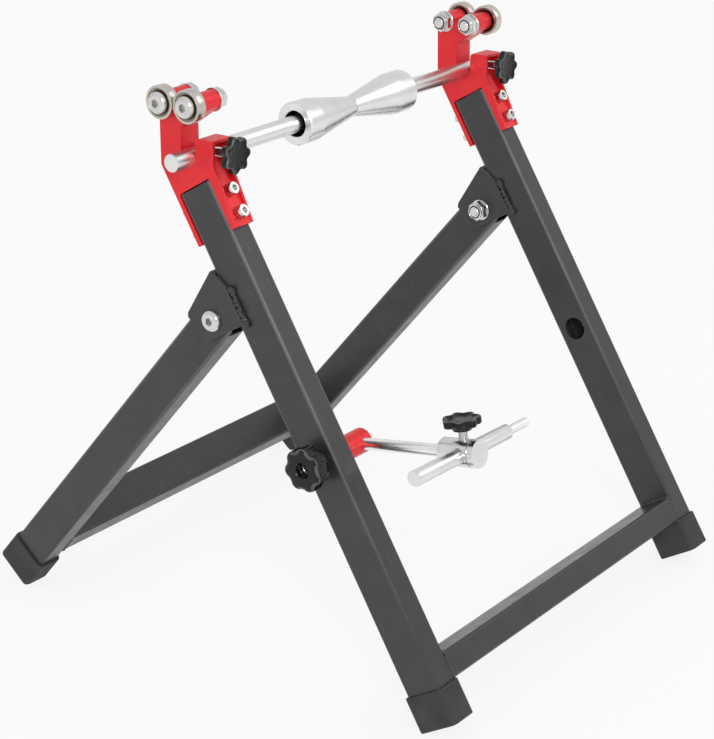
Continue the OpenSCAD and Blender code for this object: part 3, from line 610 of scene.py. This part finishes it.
def capScrew(name, bolt, length):
    head, tall, shank = bolt["head"], bolt["headHeight"], bolt["shank"]
    profile = [(0, -length), (shank - 0.5, -length), (shank, 0.5 - length), (shank, 0), (head - 0.2, 0),
               (head, 0.25), (head, tall - 0.7), (head - 0.25, tall - 0.2), (head - 0.55, tall), (0, tall)]
    piece = turned(name, profile, 72)
    # every other line of the side goes in, as a knurl
    choose(piece, lambda x, y, z: math.hypot(x, y) > head - 0.1
           and round(math.degrees(math.atan2(y, x)) / 5) % 2)
    bpy.ops.transform.resize(value=(bolt["knurl"], bolt["knurl"], 1))
    editDone()
    cutWith(piece, prism("key", 6, bolt["socket"], tall - bolt["socketDepth"], tall + 2))
    smoothed(piece, 24)
    return piece


def lockNut(name, nut):
    flats, tall, hexTall, bore = nut["flats"], nut["height"], nut["hexHeight"], nut["bore"]
    collar, lip = nut["collar"], nut["lip"]
    piece = prism(name, 6, flats, 0, hexTall)
    corner = flats / 2 / math.cos(math.pi / 6) + 0.1
    slope = (corner - flats / 2) * 0.55
    keep = turned("nutKeep", [(0, -0.1), (flats / 2 * 0.98, -0.1), (corner, slope), (corner, hexTall - slope),
                              (flats / 2 * 0.98, hexTall + 0.1), (0, hexTall + 0.1)], 72)
    cutWith(piece, keep, "INTERSECT")
    rim = [(0, hexTall - 1), (collar - 0.1, hexTall - 1), (collar - 0.1, hexTall + 0.2),
           (collar - 0.2, tall - 0.6), (collar - 0.5, tall - 0.18), (collar - lip * 0.8, tall),
           (collar - lip, tall - 0.25), (collar - lip, tall - 1.1), (0, tall - 1.1)]
    cutWith(piece, turned("nutRim", rim, 72), "UNION")
    cutWith(piece, turned("nutBore", [(0, -1), (bore, -1), (bore, tall + 1), (0, tall + 1)], 48))
    smoothed(piece, 30)
    return piece


def nylonInsert(name, nut):
    inner, outer, top = nut["bore"], nut["collar"] - nut["lip"] - 0.02, nut["height"]
    piece = turned(name, [(inner, top - 1.08), (outer, top - 1.08), (outer, top - 0.5),
                          (outer - 0.12, top - 0.36), (inner + 0.12, top - 0.36), (inner, top - 0.5),
                          (inner, top - 1.08)], 48)
    smoothed(piece, 35)
    return piece


def washerRing(name, ring):
    outer, inner, thick = ring["outer"], ring["inner"], ring["thick"]
    piece = turned(name, [(inner, 0.1), (inner + 0.1, 0), (outer - 0.25, 0), (outer, 0.2),
                          (outer, thick - 0.3), (outer - 0.35, thick), (inner + 0.15, thick),
                          (inner, thick - 0.15), (inner, 0.1)], 72)
    smoothed(piece, 35)
    return piece


def boltSet(prefix, kit, ring, seats, models, finish, slotName):
    # seats hold the place under each head and the way the head points
    boltModel, washerModel, nutModel, insertModel = models
    grip, nutAt = kit["grip"], kit["grip"] + ring["thick"]
    bolts, washers, nuts, inserts = [], [], [], []
    for where, out in seats:
        out = Vector(out)
        bolts.append(placed(copied(boltModel, "bolt"), where, out))
        washers.append(placed(copied(washerModel, "washer"), where - out * grip * mm, -out))
        nuts.append(placed(copied(nutModel, "nut"), where - out * nutAt * mm, -out))
        inserts.append(placed(copied(insertModel, "insert"), where - out * nutAt * mm, -out))
    boltNode, washerNode, nutNode = kit["nodes"]
    settle(joined(prefix + "Bolts", bolts), "front_frame", slotName, finish, boltNode)
    settle(joined(prefix + "Washers", washers), "front_frame", "zinc", zincPlate, washerNode)
    settle(joined(prefix + "Nuts", nuts), "front_frame", "zinc", zincPlate, nutNode)
    settle(joined(prefix + "NutInserts", inserts), "front_frame", "black_plastic", nylonRing)


rollerSeats, pivotSeats, flangeSeats = [], [], []
for side, outward in (("left", -1), ("right", 1)):
    for place in ("front", "rear"):
        middle = jointAt[side + "_" + place + "_roller_spin"]
        rollerSeats.append((middle + Vector((outward * bearing["half"] * mm, 0, 0)), (outward, 0, 0)))
    pivot = jointAt["rear_frame_fold"]
    pivotSeats.append((Vector((outward * pivotSet["seat"] * mm, pivot.y, pivot.z)), (outward, 0, 0)))
    for down in flangeSet["down"]:
        flangeSeats.append((onUpright(outward, 0, flangeSet["seat"], -down), -backAlong))

rollerBolt = buttonBolt("rollerBolt", eightScrew, rollerSet["length"])
pivotBolt = buttonBolt("pivotBolt", eightScrew, pivotSet["length"])
flangeScrew = capScrew("flangeScrew", fiveScrew, flangeSet["length"])
bigModels = (washerRing("bigWasher", eightRing), lockNut("bigNut", eightNut),
             nylonInsert("bigInsert", eightNut))
smallModels = (washerRing("smallWasher", fiveRing), lockNut("smallNut", fiveNut),
               nylonInsert("smallInsert", fiveNut))
boltSet("roller", rollerSet, eightRing, rollerSeats, (rollerBolt, *bigModels), boltSteel, "bearing_steel")
boltSet("pivot", pivotSet, eightRing, pivotSeats, (pivotBolt, *bigModels), zincPlate, "zinc")
boltSet("flange", flangeSet, fiveRing, flangeSeats, (flangeScrew, *smallModels), zincPlate, "zinc")
for model in (rollerBolt, pivotBolt, flangeScrew, *bigModels, *smallModels):
    bpy.data.objects.remove(model)
print("fasteners done")


# shaft and cones

shaftBar = {"radius": 6.0, "chamfer": 0.8}
coneBody = {"length": 61, "small": 7.25, "big": 15.0, "band": 15, "bore": 6.05, "cup": 9.0, "cupDepth": 14,
            "rim": 1.0, "grubHole": ((0, 4), (2.55, 4), (2.55, 13.6), (3.4, 16), (0, 16))}


def makeShaft():
    low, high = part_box("shaft")
    length = (high[0] - low[0]) / mm
    r, c = shaftBar["radius"], shaftBar["chamfer"]
    profile = [(0, 0), (r - c, 0), (r - c * 0.3, c * 0.35), (r, c)]
    profile += [(radius, length - height) for radius, height in reversed(profile)]
    piece = turned("balanceShaft", profile, 72)
    smoothed(piece, 25)
    placed(piece, (low[0], *jointAt["shaft_spin"][1:]), (1, 0, 0))
    settle(piece, "shaft", "ground_steel", groundSteel, "shaft")


def makeCone(side, outward):
    bore, small, big = coneBody["bore"], coneBody["small"], coneBody["big"]
    cup, rim, end = coneBody["cup"], coneBody["rim"], coneBody["length"]
    bandAt, cupFloor = end - coneBody["band"], end - coneBody["cupDepth"]
    low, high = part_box(side + "_cone")
    profile = [(bore, 0.3), (bore + 0.3, 0), (small - 0.3, 0), (small, 0.35), (big - 0.1, bandAt - 0.6),
               (big, bandAt + 0.4), (big, end - rim), (big - rim, end), (cup + 0.4, end), (cup, end - 0.4),
               (cup, cupFloor + 0.4), (cup - 0.4, cupFloor), (bore + 0.3, cupFloor), (bore, cupFloor - 0.3),
               (bore, 0.3)]
    piece = turned(side + "CentringCone", profile, 96)
    axis = jointAt["shaft_spin"]
    start = high[0] if outward < 0 else low[0]
    placed(piece, (start, axis.y, axis.z), (outward, 0, 0))
    screwAt = boxMiddle(side + "_cone_screw")
    onAxis = Vector((screwAt.x, axis.y, axis.z))
    cutWith(piece, placed(turned("grubHole", coneBody["grubHole"], 32), onAxis, screwAt - onAxis))
    smoothed(piece, 22)
    settle(piece, side + "_cone", "turned_aluminium", turnedAluminium, side + "_cone")
    # a dark sleeve inside the cup: painted shade in the hollow
    mouth, deep, wide, narrow = end - rim, cupFloor + 0.05, cup - 0.03, bore + 0.4
    profile = [(wide, mouth), (wide, deep + 0.45), (wide - 0.4, deep), (narrow, deep),
               (narrow, deep + 0.3), (wide - 0.55, deep + 0.3), (wide - 0.25, deep + 0.6),
               (wide - 0.25, mouth - 0.2), (wide, mouth)]
    cupShade = turned(side + "CupShadeSleeve", profile, 72)
    smoothed(cupShade, 30)
    placed(cupShade, (start, axis.y, axis.z), (outward, 0, 0))
    settle(cupShade, side + "_cone", "black_oxide", oxideSteel)


makeShaft()
makeCone("left", -1)
makeCone("right", 1)
print("shaft and cones done")


# star knobs and their screws

# rings climb from the lobes' underside over the edge: height in mm, share of the star's width
smallKnob = {
    "across": 25.0, "valley": 9.9, "lobes": 7, "crown": 0.10, "foot": 0.95, "hubHeight": 3.0, "hubLow": 6.1,
    "hubHigh": 6.75, "ribs": 0, "bore": 3.05, "boreDepth": 6.0,
    "rings": ((0, 0.94), (0.7, 1), (4.4, 1), (5.1, 0.97), (5.5, 0.915), (5.4, 0.86), (4.2, 0.74),
              (3.8, 0.35)),
}
largeKnob = {
    "across": 29.5, "valley": 12.9, "lobes": 7, "crown": 0.20, "foot": 0.92, "hubHeight": 6.0, "hubLow": 7.4,
    "hubHigh": 8.0, "ribs": 0.035, "hole": 4.9, "holeDepth": 7.0, "bore": 4.05, "boreDepth": 6.0,
    "rings": ((0, 0.90), (1.2, 1), (8.4, 1), (9.8, 0.98), (10.7, 0.93), (11.1, 0.84), (11.2, 0.64)),
}


def markRimHighlight(piece, low):
    # the outward rounding of the star's upper edge, marked for a painted highlight
    mark = piece.data.attributes.new("paintedEdgeHighlight", "FLOAT", "FACE")
    for face in piece.data.polygons:
        outward = face.normal.x * face.center.x + face.normal.y * face.center.y > 0
        mark.data[face.index].value = outward and face.center.z > low * mm and 0.25 < face.normal.z < 0.95


def lobeRadius(knob, share):
    # from a lobe's crown at 0 to the valley at 1
    outer, valley, crown, foot = knob["across"] / 2, knob["valley"], knob["crown"], knob["foot"]
    if share < crown:
        return outer - 0.2 * (share / crown) ** 2
    fall = 0.5 + 0.5 * math.cos(math.pi * min(1, (share - crown) / (foot - crown)))
    return valley + (outer - 0.2 - valley) * fall


def starKnob(name, knob):
    perLobe = 24
    half = perLobe // 2
    count = knob["lobes"] * perLobe
    outer, hub = knob["across"] / 2, knob["hubHeight"]

    def line(x, y):
        return round(math.atan2(y, x) / math.tau * count)

    bpy.ops.object.select_all(action="DESELECT")
    bpy.ops.mesh.primitive_circle_add(vertices=count, radius=outer * mm, fill_type="NGON",
                                      location=(0, 0, hub * mm))
    piece = bpy.context.object
    piece.name = name
    bpy.ops.object.transform_apply(location=True, rotation=True, scale=True)
    # like places round the lobes go in together
    for step in range(half + 1):
        choose(piece, lambda x, y, z: abs((line(x, y) + half) % perLobe - half) == step)
        share = lobeRadius(knob, step / half) / outer
        bpy.ops.transform.resize(value=(share, share, 1))
        editDone()
    editAll(piece)
    low, wide = knob["rings"][0]
    bpy.ops.transform.resize(value=(wide, wide, 1))
    for height, share in knob["rings"][1:]:
        bpy.ops.mesh.extrude_region_move(TRANSFORM_OT_translate={"value": (0, 0, (height - low) * mm)})
        bpy.ops.transform.resize(value=(share / wide, share / wide, 1))
        low, wide = height, share
    bpy.ops.mesh.select_all(action="SELECT")
    bpy.ops.mesh.normals_make_consistent(inside=False)
    editDone()
    if knob["ribs"]:
        # grip ribs on the sides, below the rounded edge
        sideLow, sideHigh = hub + knob["rings"][1][0] - 0.1, hub + knob["rings"][2][0] + 0.1
        choose(piece, lambda x, y, z: sideLow < z < sideHigh and line(x, y) % 3 == 1)
        bpy.ops.transform.resize(value=(1 - knob["ribs"], 1 - knob["ribs"], 1))
        editDone()
    hubLow, hubHigh, bore, boreDepth = knob["hubLow"], knob["hubHigh"], knob["bore"], knob["boreDepth"]
    cutWith(piece, turned("hub", [(0, 0), (hubLow - 0.3, 0), (hubLow, 0.3), (hubHigh, hub + 0.5),
                                  (0, hub + 0.5)], 64), "UNION")
    if knob["ribs"]:
        top, hole = hub + knob["rings"][-1][0], knob["hole"]
        deep = top - knob["holeDepth"]
        cutWith(piece, turned("hole", [(0, deep), (hole, deep), (hole, top - 0.8), (hole + 0.8, top),
                                       (hole + 0.8, top + 1), (0, top + 1)], 64))
    cutWith(piece, turned("bore", [(0, -1), (bore, -1), (bore, boreDepth), (0, boreDepth)], 48))
    smoothed(piece, 40)
    markRimHighlight(piece, hub + knob["rings"][2][0])
    return piece


sixThread = {"radius": 3.0, "depth": 0.5, "pitch": 1.0, "steps": 32}
tipThread = {"radius": 2.95, "depth": 0.6, "pitch": 1.5, "steps": 32}
eightThread = {"radius": 4.0, "depth": 0.6, "pitch": 1.25, "steps": 32}


def makeClampScrew(side, knobModel):
    name = side + "_clamp"
    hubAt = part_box(name + "_knob")[1][1]
    studLow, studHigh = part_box(name + "_stud")
    axisAt = jointAt[name + "_knob_turn"]
    knob = placed(copied(knobModel, side + "ClampStar"), (axisAt.x, hubAt, axisAt.z), (0, -1, 0), (1, 0, 0))
    settle(knob, name + "_knob", "black_plastic", mouldedPlastic, name + "_knob")
    stud = threadedBar(side + "ClampStud", dict(sixThread, length=(studHigh[1] - studLow[1]) / mm))
    placed(stud, (axisAt.x, studHigh[1], axisAt.z), (0, -1, 0))
    settle(stud, name + "_screw", "zinc", zincPlate, name + "_stud")


smallModel = starKnob("smallStar", smallKnob)
makeClampScrew("left", smallModel)
makeClampScrew("right", smallModel)

# the truing arm's slopes, as in the CAD
arm = {"lift": 9.5, "blockTurn": 1.7, "rod": 4.0, "rodFront": 80.0, "rodBack": 24.0, "pointer": 5.0,
       "pointerOut": 54.5, "pointerLength": 101.5, "tipSocket": 12.0, "tipLength": 23.0, "blockRadius": 9.0,
       "knobStem": 5.7, "studLow": 5.25}
lift, turn = math.radians(arm["lift"]), math.radians(arm["blockTurn"])
rodAlong = Vector((0, -math.cos(lift), math.sin(lift)))
rodUp = Vector((0, math.sin(lift), math.cos(lift)))
pointAlong = Vector((1, 0, 0)) * math.cos(turn) - rodUp * math.sin(turn)
pointUp = Vector((1, 0, 0)) * math.sin(turn) + rodUp * math.cos(turn)
armMiddle, blockMiddle = jointAt["swivel_turn"], jointAt["block_turn"]


def barProfile(radius, length):
    # eased at both ends, and still open at the far one
    return [(0, 0), (radius - 0.6, 0), (radius - 0.15, 0.25), (radius, 0.7), (radius, length - 0.7),
            (radius - 0.15, length - 0.25), (radius - 0.6, length)]


def makeArmRod():
    length = arm["rodFront"] + arm["rodBack"]
    rod = turned("armRod", barProfile(arm["rod"], length) + [(0, length)], 48)
    smoothed(rod, 25)
    placed(rod, armMiddle - rodAlong * arm["rodBack"] * mm, rodAlong)
    settle(rod, "arm", "ground_steel", rodSteel, "arm_rod")


def makePointer():
    length, socket, out = arm["pointerLength"], arm["tipSocket"], arm["pointerOut"]
    hole = [(3.35, length), (3.0, length - 0.4), (3.0, length - socket), (0, length - socket)]
    pointer = turned("pointerBar", barProfile(arm["pointer"], length) + hole, 64)
    smoothed(pointer, 25)
    placed(pointer, blockMiddle - pointAlong * out * mm, pointAlong)
    settle(pointer, "pointer", "ground_steel", groundSteel, "pointer_rod")
    tipLength = socket + arm["tipLength"]
    tip = threadedBar("pointerTip", dict(tipThread, length=tipLength))
    cone = turned("tipCone", [(0, -1), (4, -1), (4, tipLength - 1.2), (1.9, tipLength), (1.9, tipLength + 1),
                              (0, tipLength + 1)], 48)
    cutWith(tip, cone, "INTERSECT")
    smoothed(tip, 40)
    placed(tip, blockMiddle + pointAlong * (length - out - socket) * mm, pointAlong)
    settle(tip, "pointer", "zinc", rodSteel, "pointer_tip")


def makePointerKnob():
    hubAt = arm["blockRadius"] + arm["knobStem"]
    knob = placed(copied(smallModel, "pointerStar"), blockMiddle + pointUp * hubAt * mm, pointUp, pointAlong)
    settle(knob, "pointer_knob", "black_plastic", mouldedPlastic, "pointer_knob")
    studLength = hubAt + smallKnob["boreDepth"] - 0.25 - arm["studLow"]
    stud = threadedBar("pointerStud", dict(sixThread, length=studLength))
    placed(stud, blockMiddle + pointUp * arm["studLow"] * mm, pointUp)
    settle(stud, "pointer_screw", "zinc", zincPlate, "pointer_stud")


def makeSwivelKnob():
    hubAt = (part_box("swivel_knob")[1][0], armMiddle.y, armMiddle.z)
    knob = placed(starKnob("swivelStar", largeKnob), hubAt, (-1, 0, 0), (0, 0, 1))
    settle(knob, "swivel_knob", "black_plastic", mouldedPlastic, "swivel_knob")
    # the pressed-in metal bush at the bottom of the hole
    low = largeKnob["hubHeight"] + largeKnob["rings"][-1][0] - largeKnob["holeDepth"]
    bush = turned("swivelBush", [(2.8, low), (4.6, low), (4.6, low + 1.0), (4.3, low + 1.3), (3.1, low + 1.3),
                                 (2.8, low + 1.0), (2.8, low)], 48)
    smoothed(bush, 35)
    placed(bush, hubAt, (-1, 0, 0))
    settle(bush, "swivel_knob", "zinc", zincPlate)
    studLow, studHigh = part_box("swivel_stud")
    stud = threadedBar("swivelStud", dict(eightThread, length=(studHigh[0] - studLow[0]) / mm))
    placed(stud, (studHigh[0], armMiddle.y, armMiddle.z), (-1, 0, 0))
    settle(stud, "swivel_screw", "zinc", zincPlate, "swivel_stud")


makeArmRod()
makePointer()
makePointerKnob()
makeSwivelKnob()
bpy.data.objects.remove(smallModel)
print("knobs and truing arm done")


# weld beads

# the last row of each is where the bead lies, beside the cheek's edge or the crossbar's middle
cheekBead = {"radius": 2.1, "step": 3.3, "length": 23.1, "squash": 0.95, "ends": 2.8, "rough": 2.4,
             "across": 10.1, "back": -1.6, "up": 0.4}
barBead = {"radius": 1.7, "step": 2.2, "length": 24.2, "squash": 0.85, "ends": 0, "rough": 1.2,
           "off": 9, "start": 12.5}
faceBead = {"radius": 1.7, "step": 2.1, "length": 14.7, "squash": 0.85, "ends": 0, "rough": 0.9,
            "off": 13.1, "start": 7.5}
# grain of the melted bead and size of its lumps, in mm
beadGrain = {"voxel": 0.35, "lumps": 4.2}


def weldBead(name, bead):
    # a row of overlapping drops along Z, melted together
    bpy.ops.object.select_all(action="DESELECT")
    bpy.ops.mesh.primitive_uv_sphere_add(segments=14, ring_count=8, radius=bead["radius"] * mm)
    piece = bpy.context.object
    piece.name = name
    bpy.ops.object.mode_set(mode="EDIT")
    bpy.ops.mesh.select_all(action="SELECT")
    bpy.ops.transform.resize(value=(1, 1, bead["squash"]))
    editDone()
    applied(piece, "ARRAY", count=int(bead["length"] / bead["step"]) + 1, use_relative_offset=False,
            use_constant_offset=True, constant_offset_displace=(0, 0, bead["step"] * mm))
    if bead["ends"]:
        # a larger drop where the torch started and where it stopped
        bpy.ops.object.mode_set(mode="EDIT")
        for height in (0, bead["length"]):
            bpy.ops.mesh.primitive_uv_sphere_add(segments=16, ring_count=10, radius=bead["ends"] * mm,
                                                 location=(0, 0, height * mm))
        editDone()
    applied(piece, "REMESH", mode="VOXEL", voxel_size=beadGrain["voxel"] * mm, use_smooth_shade=True)
    lumps = bpy.data.textures.new(name + "Lumps", "CLOUDS")
    lumps.noise_scale = beadGrain["lumps"] * mm
    applied(piece, "DISPLACE", texture=lumps, texture_coords="LOCAL", strength=bead["rough"] * mm,
            mid_level=0.5)
    applied(piece, "SMOOTH", factor=0.5, iterations=2)
    return piece


def barBeads(models, bar, along, back):
    # both ends of a crossbar: a bead above and below, and one in the groove at the front and at the rear
    top, groove = models
    made = []
    for side in (-1, 1):
        end = boxMiddle(bar)
        end.x = side * stand["innerWall"] * mm
        for off in (-barBead["off"], barBead["off"]):
            where = end + (along * off - back * barBead["start"]) * mm
            made.append(placed(copied(top, "bead"), where, back))
        for off in (-faceBead["off"], faceBead["off"]):
            where = end + (back * off - along * faceBead["start"]) * mm
            made.append(placed(copied(groove, "bead"), where, along))
    return made


def weldUp():
    cheek = weldBead("cheekWeld", cheekBead)
    bar = weldBead("barWeld", barBead)
    face = weldBead("faceWeld", faceBead)
    frontBeads = barBeads((bar, face), "front_crossbar", upAlong, backAlong)
    for side in (-1, 1):
        for across in (-1, 1):
            where = onUpright(side, across * cheekBead["across"], stand["cheekEdge"] + cheekBead["back"],
                              stand["cheekLow"] + cheekBead["up"])
            frontBeads.append(placed(copied(cheek, "bead"), where, upAlong, (across, 0, 0)))
    rearBeads = barBeads((bar, face), "rear_crossbar", legAlong, legBack)
    settle(joined("frontWelds", frontBeads), "front_frame", "black_coat", weldCoat)
    settle(joined("rearWelds", rearBeads), "rear_frame", "black_coat", weldCoat)
    for model in (cheek, bar, face):
        bpy.data.objects.remove(model)


weldUp()
print("welds done")

# the CAD nodes that stay: balls with their cages, and the cones' grub screws
for name, node in nodes.items():
    if name.endswith("_balls"):
        wears(node, bearingSteel)
    if name.endswith("_cone_screw"):
        wears(node, oxideSteel)


# camera, floor and light

view = {
    "place": (-1.1234, -0.8465, 0.68765), "yaw": 52.534, "pitch": -17.438, "roll": -0.568,
    "focalPixels": 2095.3, "imageSize": (714, 739), "lensCentre": (338, 250), "sensor": 36.0,
}
studio = {"world": 0.7, "floor": (0.92, 0.92, 0.92), "white": 0.84, "keyPower": 20, "keySize": 0.7,
          "keyPlace": (-1.75, -1.7, 1.45), "fillPower": 7, "fillSize": 1.6, "fillPlace": (1.6, -1.6, 1.8)}


def makeCamera():
    wide, high = view["imageSize"]
    longSide = max(wide, high)
    data = bpy.data.cameras.new("photoCamera")
    data.sensor_width = view["sensor"]
    data.lens = view["focalPixels"] / longSide * view["sensor"]
    data.shift_x = (wide / 2 - view["lensCentre"][0]) / longSide
    data.shift_y = (view["lensCentre"][1] - high / 2) / longSide
    data.clip_start, data.clip_end = 0.05, 20
    camera = bpy.data.objects.new("photoCamera", data)
    bpy.context.collection.objects.link(camera)
    turn = Euler((math.radians(90 + view["pitch"]), 0, math.radians(-view["yaw"]))).to_matrix()
    roll = Matrix.Rotation(math.radians(view["roll"]), 3, "Z")
    camera.matrix_world = Matrix.Translation(view["place"]) @ (turn @ roll).to_4x4()
    bpy.context.scene.camera = camera


def softLamp(name, power, size, place):
    data = bpy.data.lights.new(name, "AREA")
    data.energy, data.size = power, size
    lamp = bpy.data.objects.new(name, data)
    bpy.context.collection.objects.link(lamp)
    aim = (Vector((0, 0, 0.2)) - Vector(place)).to_track_quat("-Z", "Y").to_matrix().to_4x4()
    lamp.matrix_world = Matrix.Translation(place) @ aim


def whiteRays(tree):
    # camera, mirror and glass rays meet plain white
    path = tree.nodes.new("ShaderNodeLightPath")
    first = tree.nodes.new("ShaderNodeMath")
    second = tree.nodes.new("ShaderNodeMath")
    first.operation = second.operation = "MAXIMUM"
    tree.links.new(path.outputs["Is Camera Ray"], first.inputs[0])
    tree.links.new(path.outputs["Is Glossy Ray"], first.inputs[1])
    tree.links.new(first.outputs[0], second.inputs[0])
    tree.links.new(path.outputs["Is Transmission Ray"], second.inputs[1])
    return second.outputs[0]


def makeWorld():
    world = bpy.data.worlds.new("studio")
    bpy.context.scene.world = world
    world.use_nodes = True
    tree = world.node_tree
    soft = tree.nodes["Background"]
    soft.inputs["Color"].default_value = (1, 1, 1, 1)
    soft.inputs["Strength"].default_value = studio["world"]
    white = tree.nodes.new("ShaderNodeBackground")
    mix = tree.nodes.new("ShaderNodeMixShader")
    tree.links.new(whiteRays(tree), mix.inputs[0])
    tree.links.new(soft.outputs[0], mix.inputs[1])
    tree.links.new(white.outputs[0], mix.inputs[2])
    tree.links.new(mix.outputs[0], tree.nodes["World Output"].inputs["Surface"])


def makeFloor():
    bpy.ops.object.select_all(action="DESELECT")
    bpy.ops.mesh.primitive_plane_add(size=8)
    floor = bpy.context.object
    floor.name = "studioFloor"
    paper = bpy.data.materials.new("floorPaper")
    paper.use_nodes = True
    tree = paper.node_tree
    shader = tree.nodes["Principled BSDF"]
    shader.inputs["Base Color"].default_value = (*studio["floor"], 1)
    shader.inputs["Roughness"].default_value = 0.9
    glow = tree.nodes.new("ShaderNodeEmission")
    # the share that stays paper keeps the shadow
    share = tree.nodes.new("ShaderNodeMath")
    share.operation = "MULTIPLY"
    share.inputs[1].default_value = studio["white"]
    mix = tree.nodes.new("ShaderNodeMixShader")
    tree.links.new(whiteRays(tree), share.inputs[0])
    tree.links.new(share.outputs[0], mix.inputs[0])
    tree.links.new(shader.outputs[0], mix.inputs[1])
    tree.links.new(glow.outputs[0], mix.inputs[2])
    tree.links.new(mix.outputs[0], tree.nodes["Material Output"].inputs["Surface"])
    floor.data.materials.append(paper)


makeCamera()
makeWorld()
makeFloor()
softLamp("keyLamp", studio["keyPower"], studio["keySize"], studio["keyPlace"])
softLamp("fillLamp", studio["fillPower"], studio["fillSize"], studio["fillPlace"])
bpy.context.scene.view_settings.view_transform = "Standard"
print("studio done")
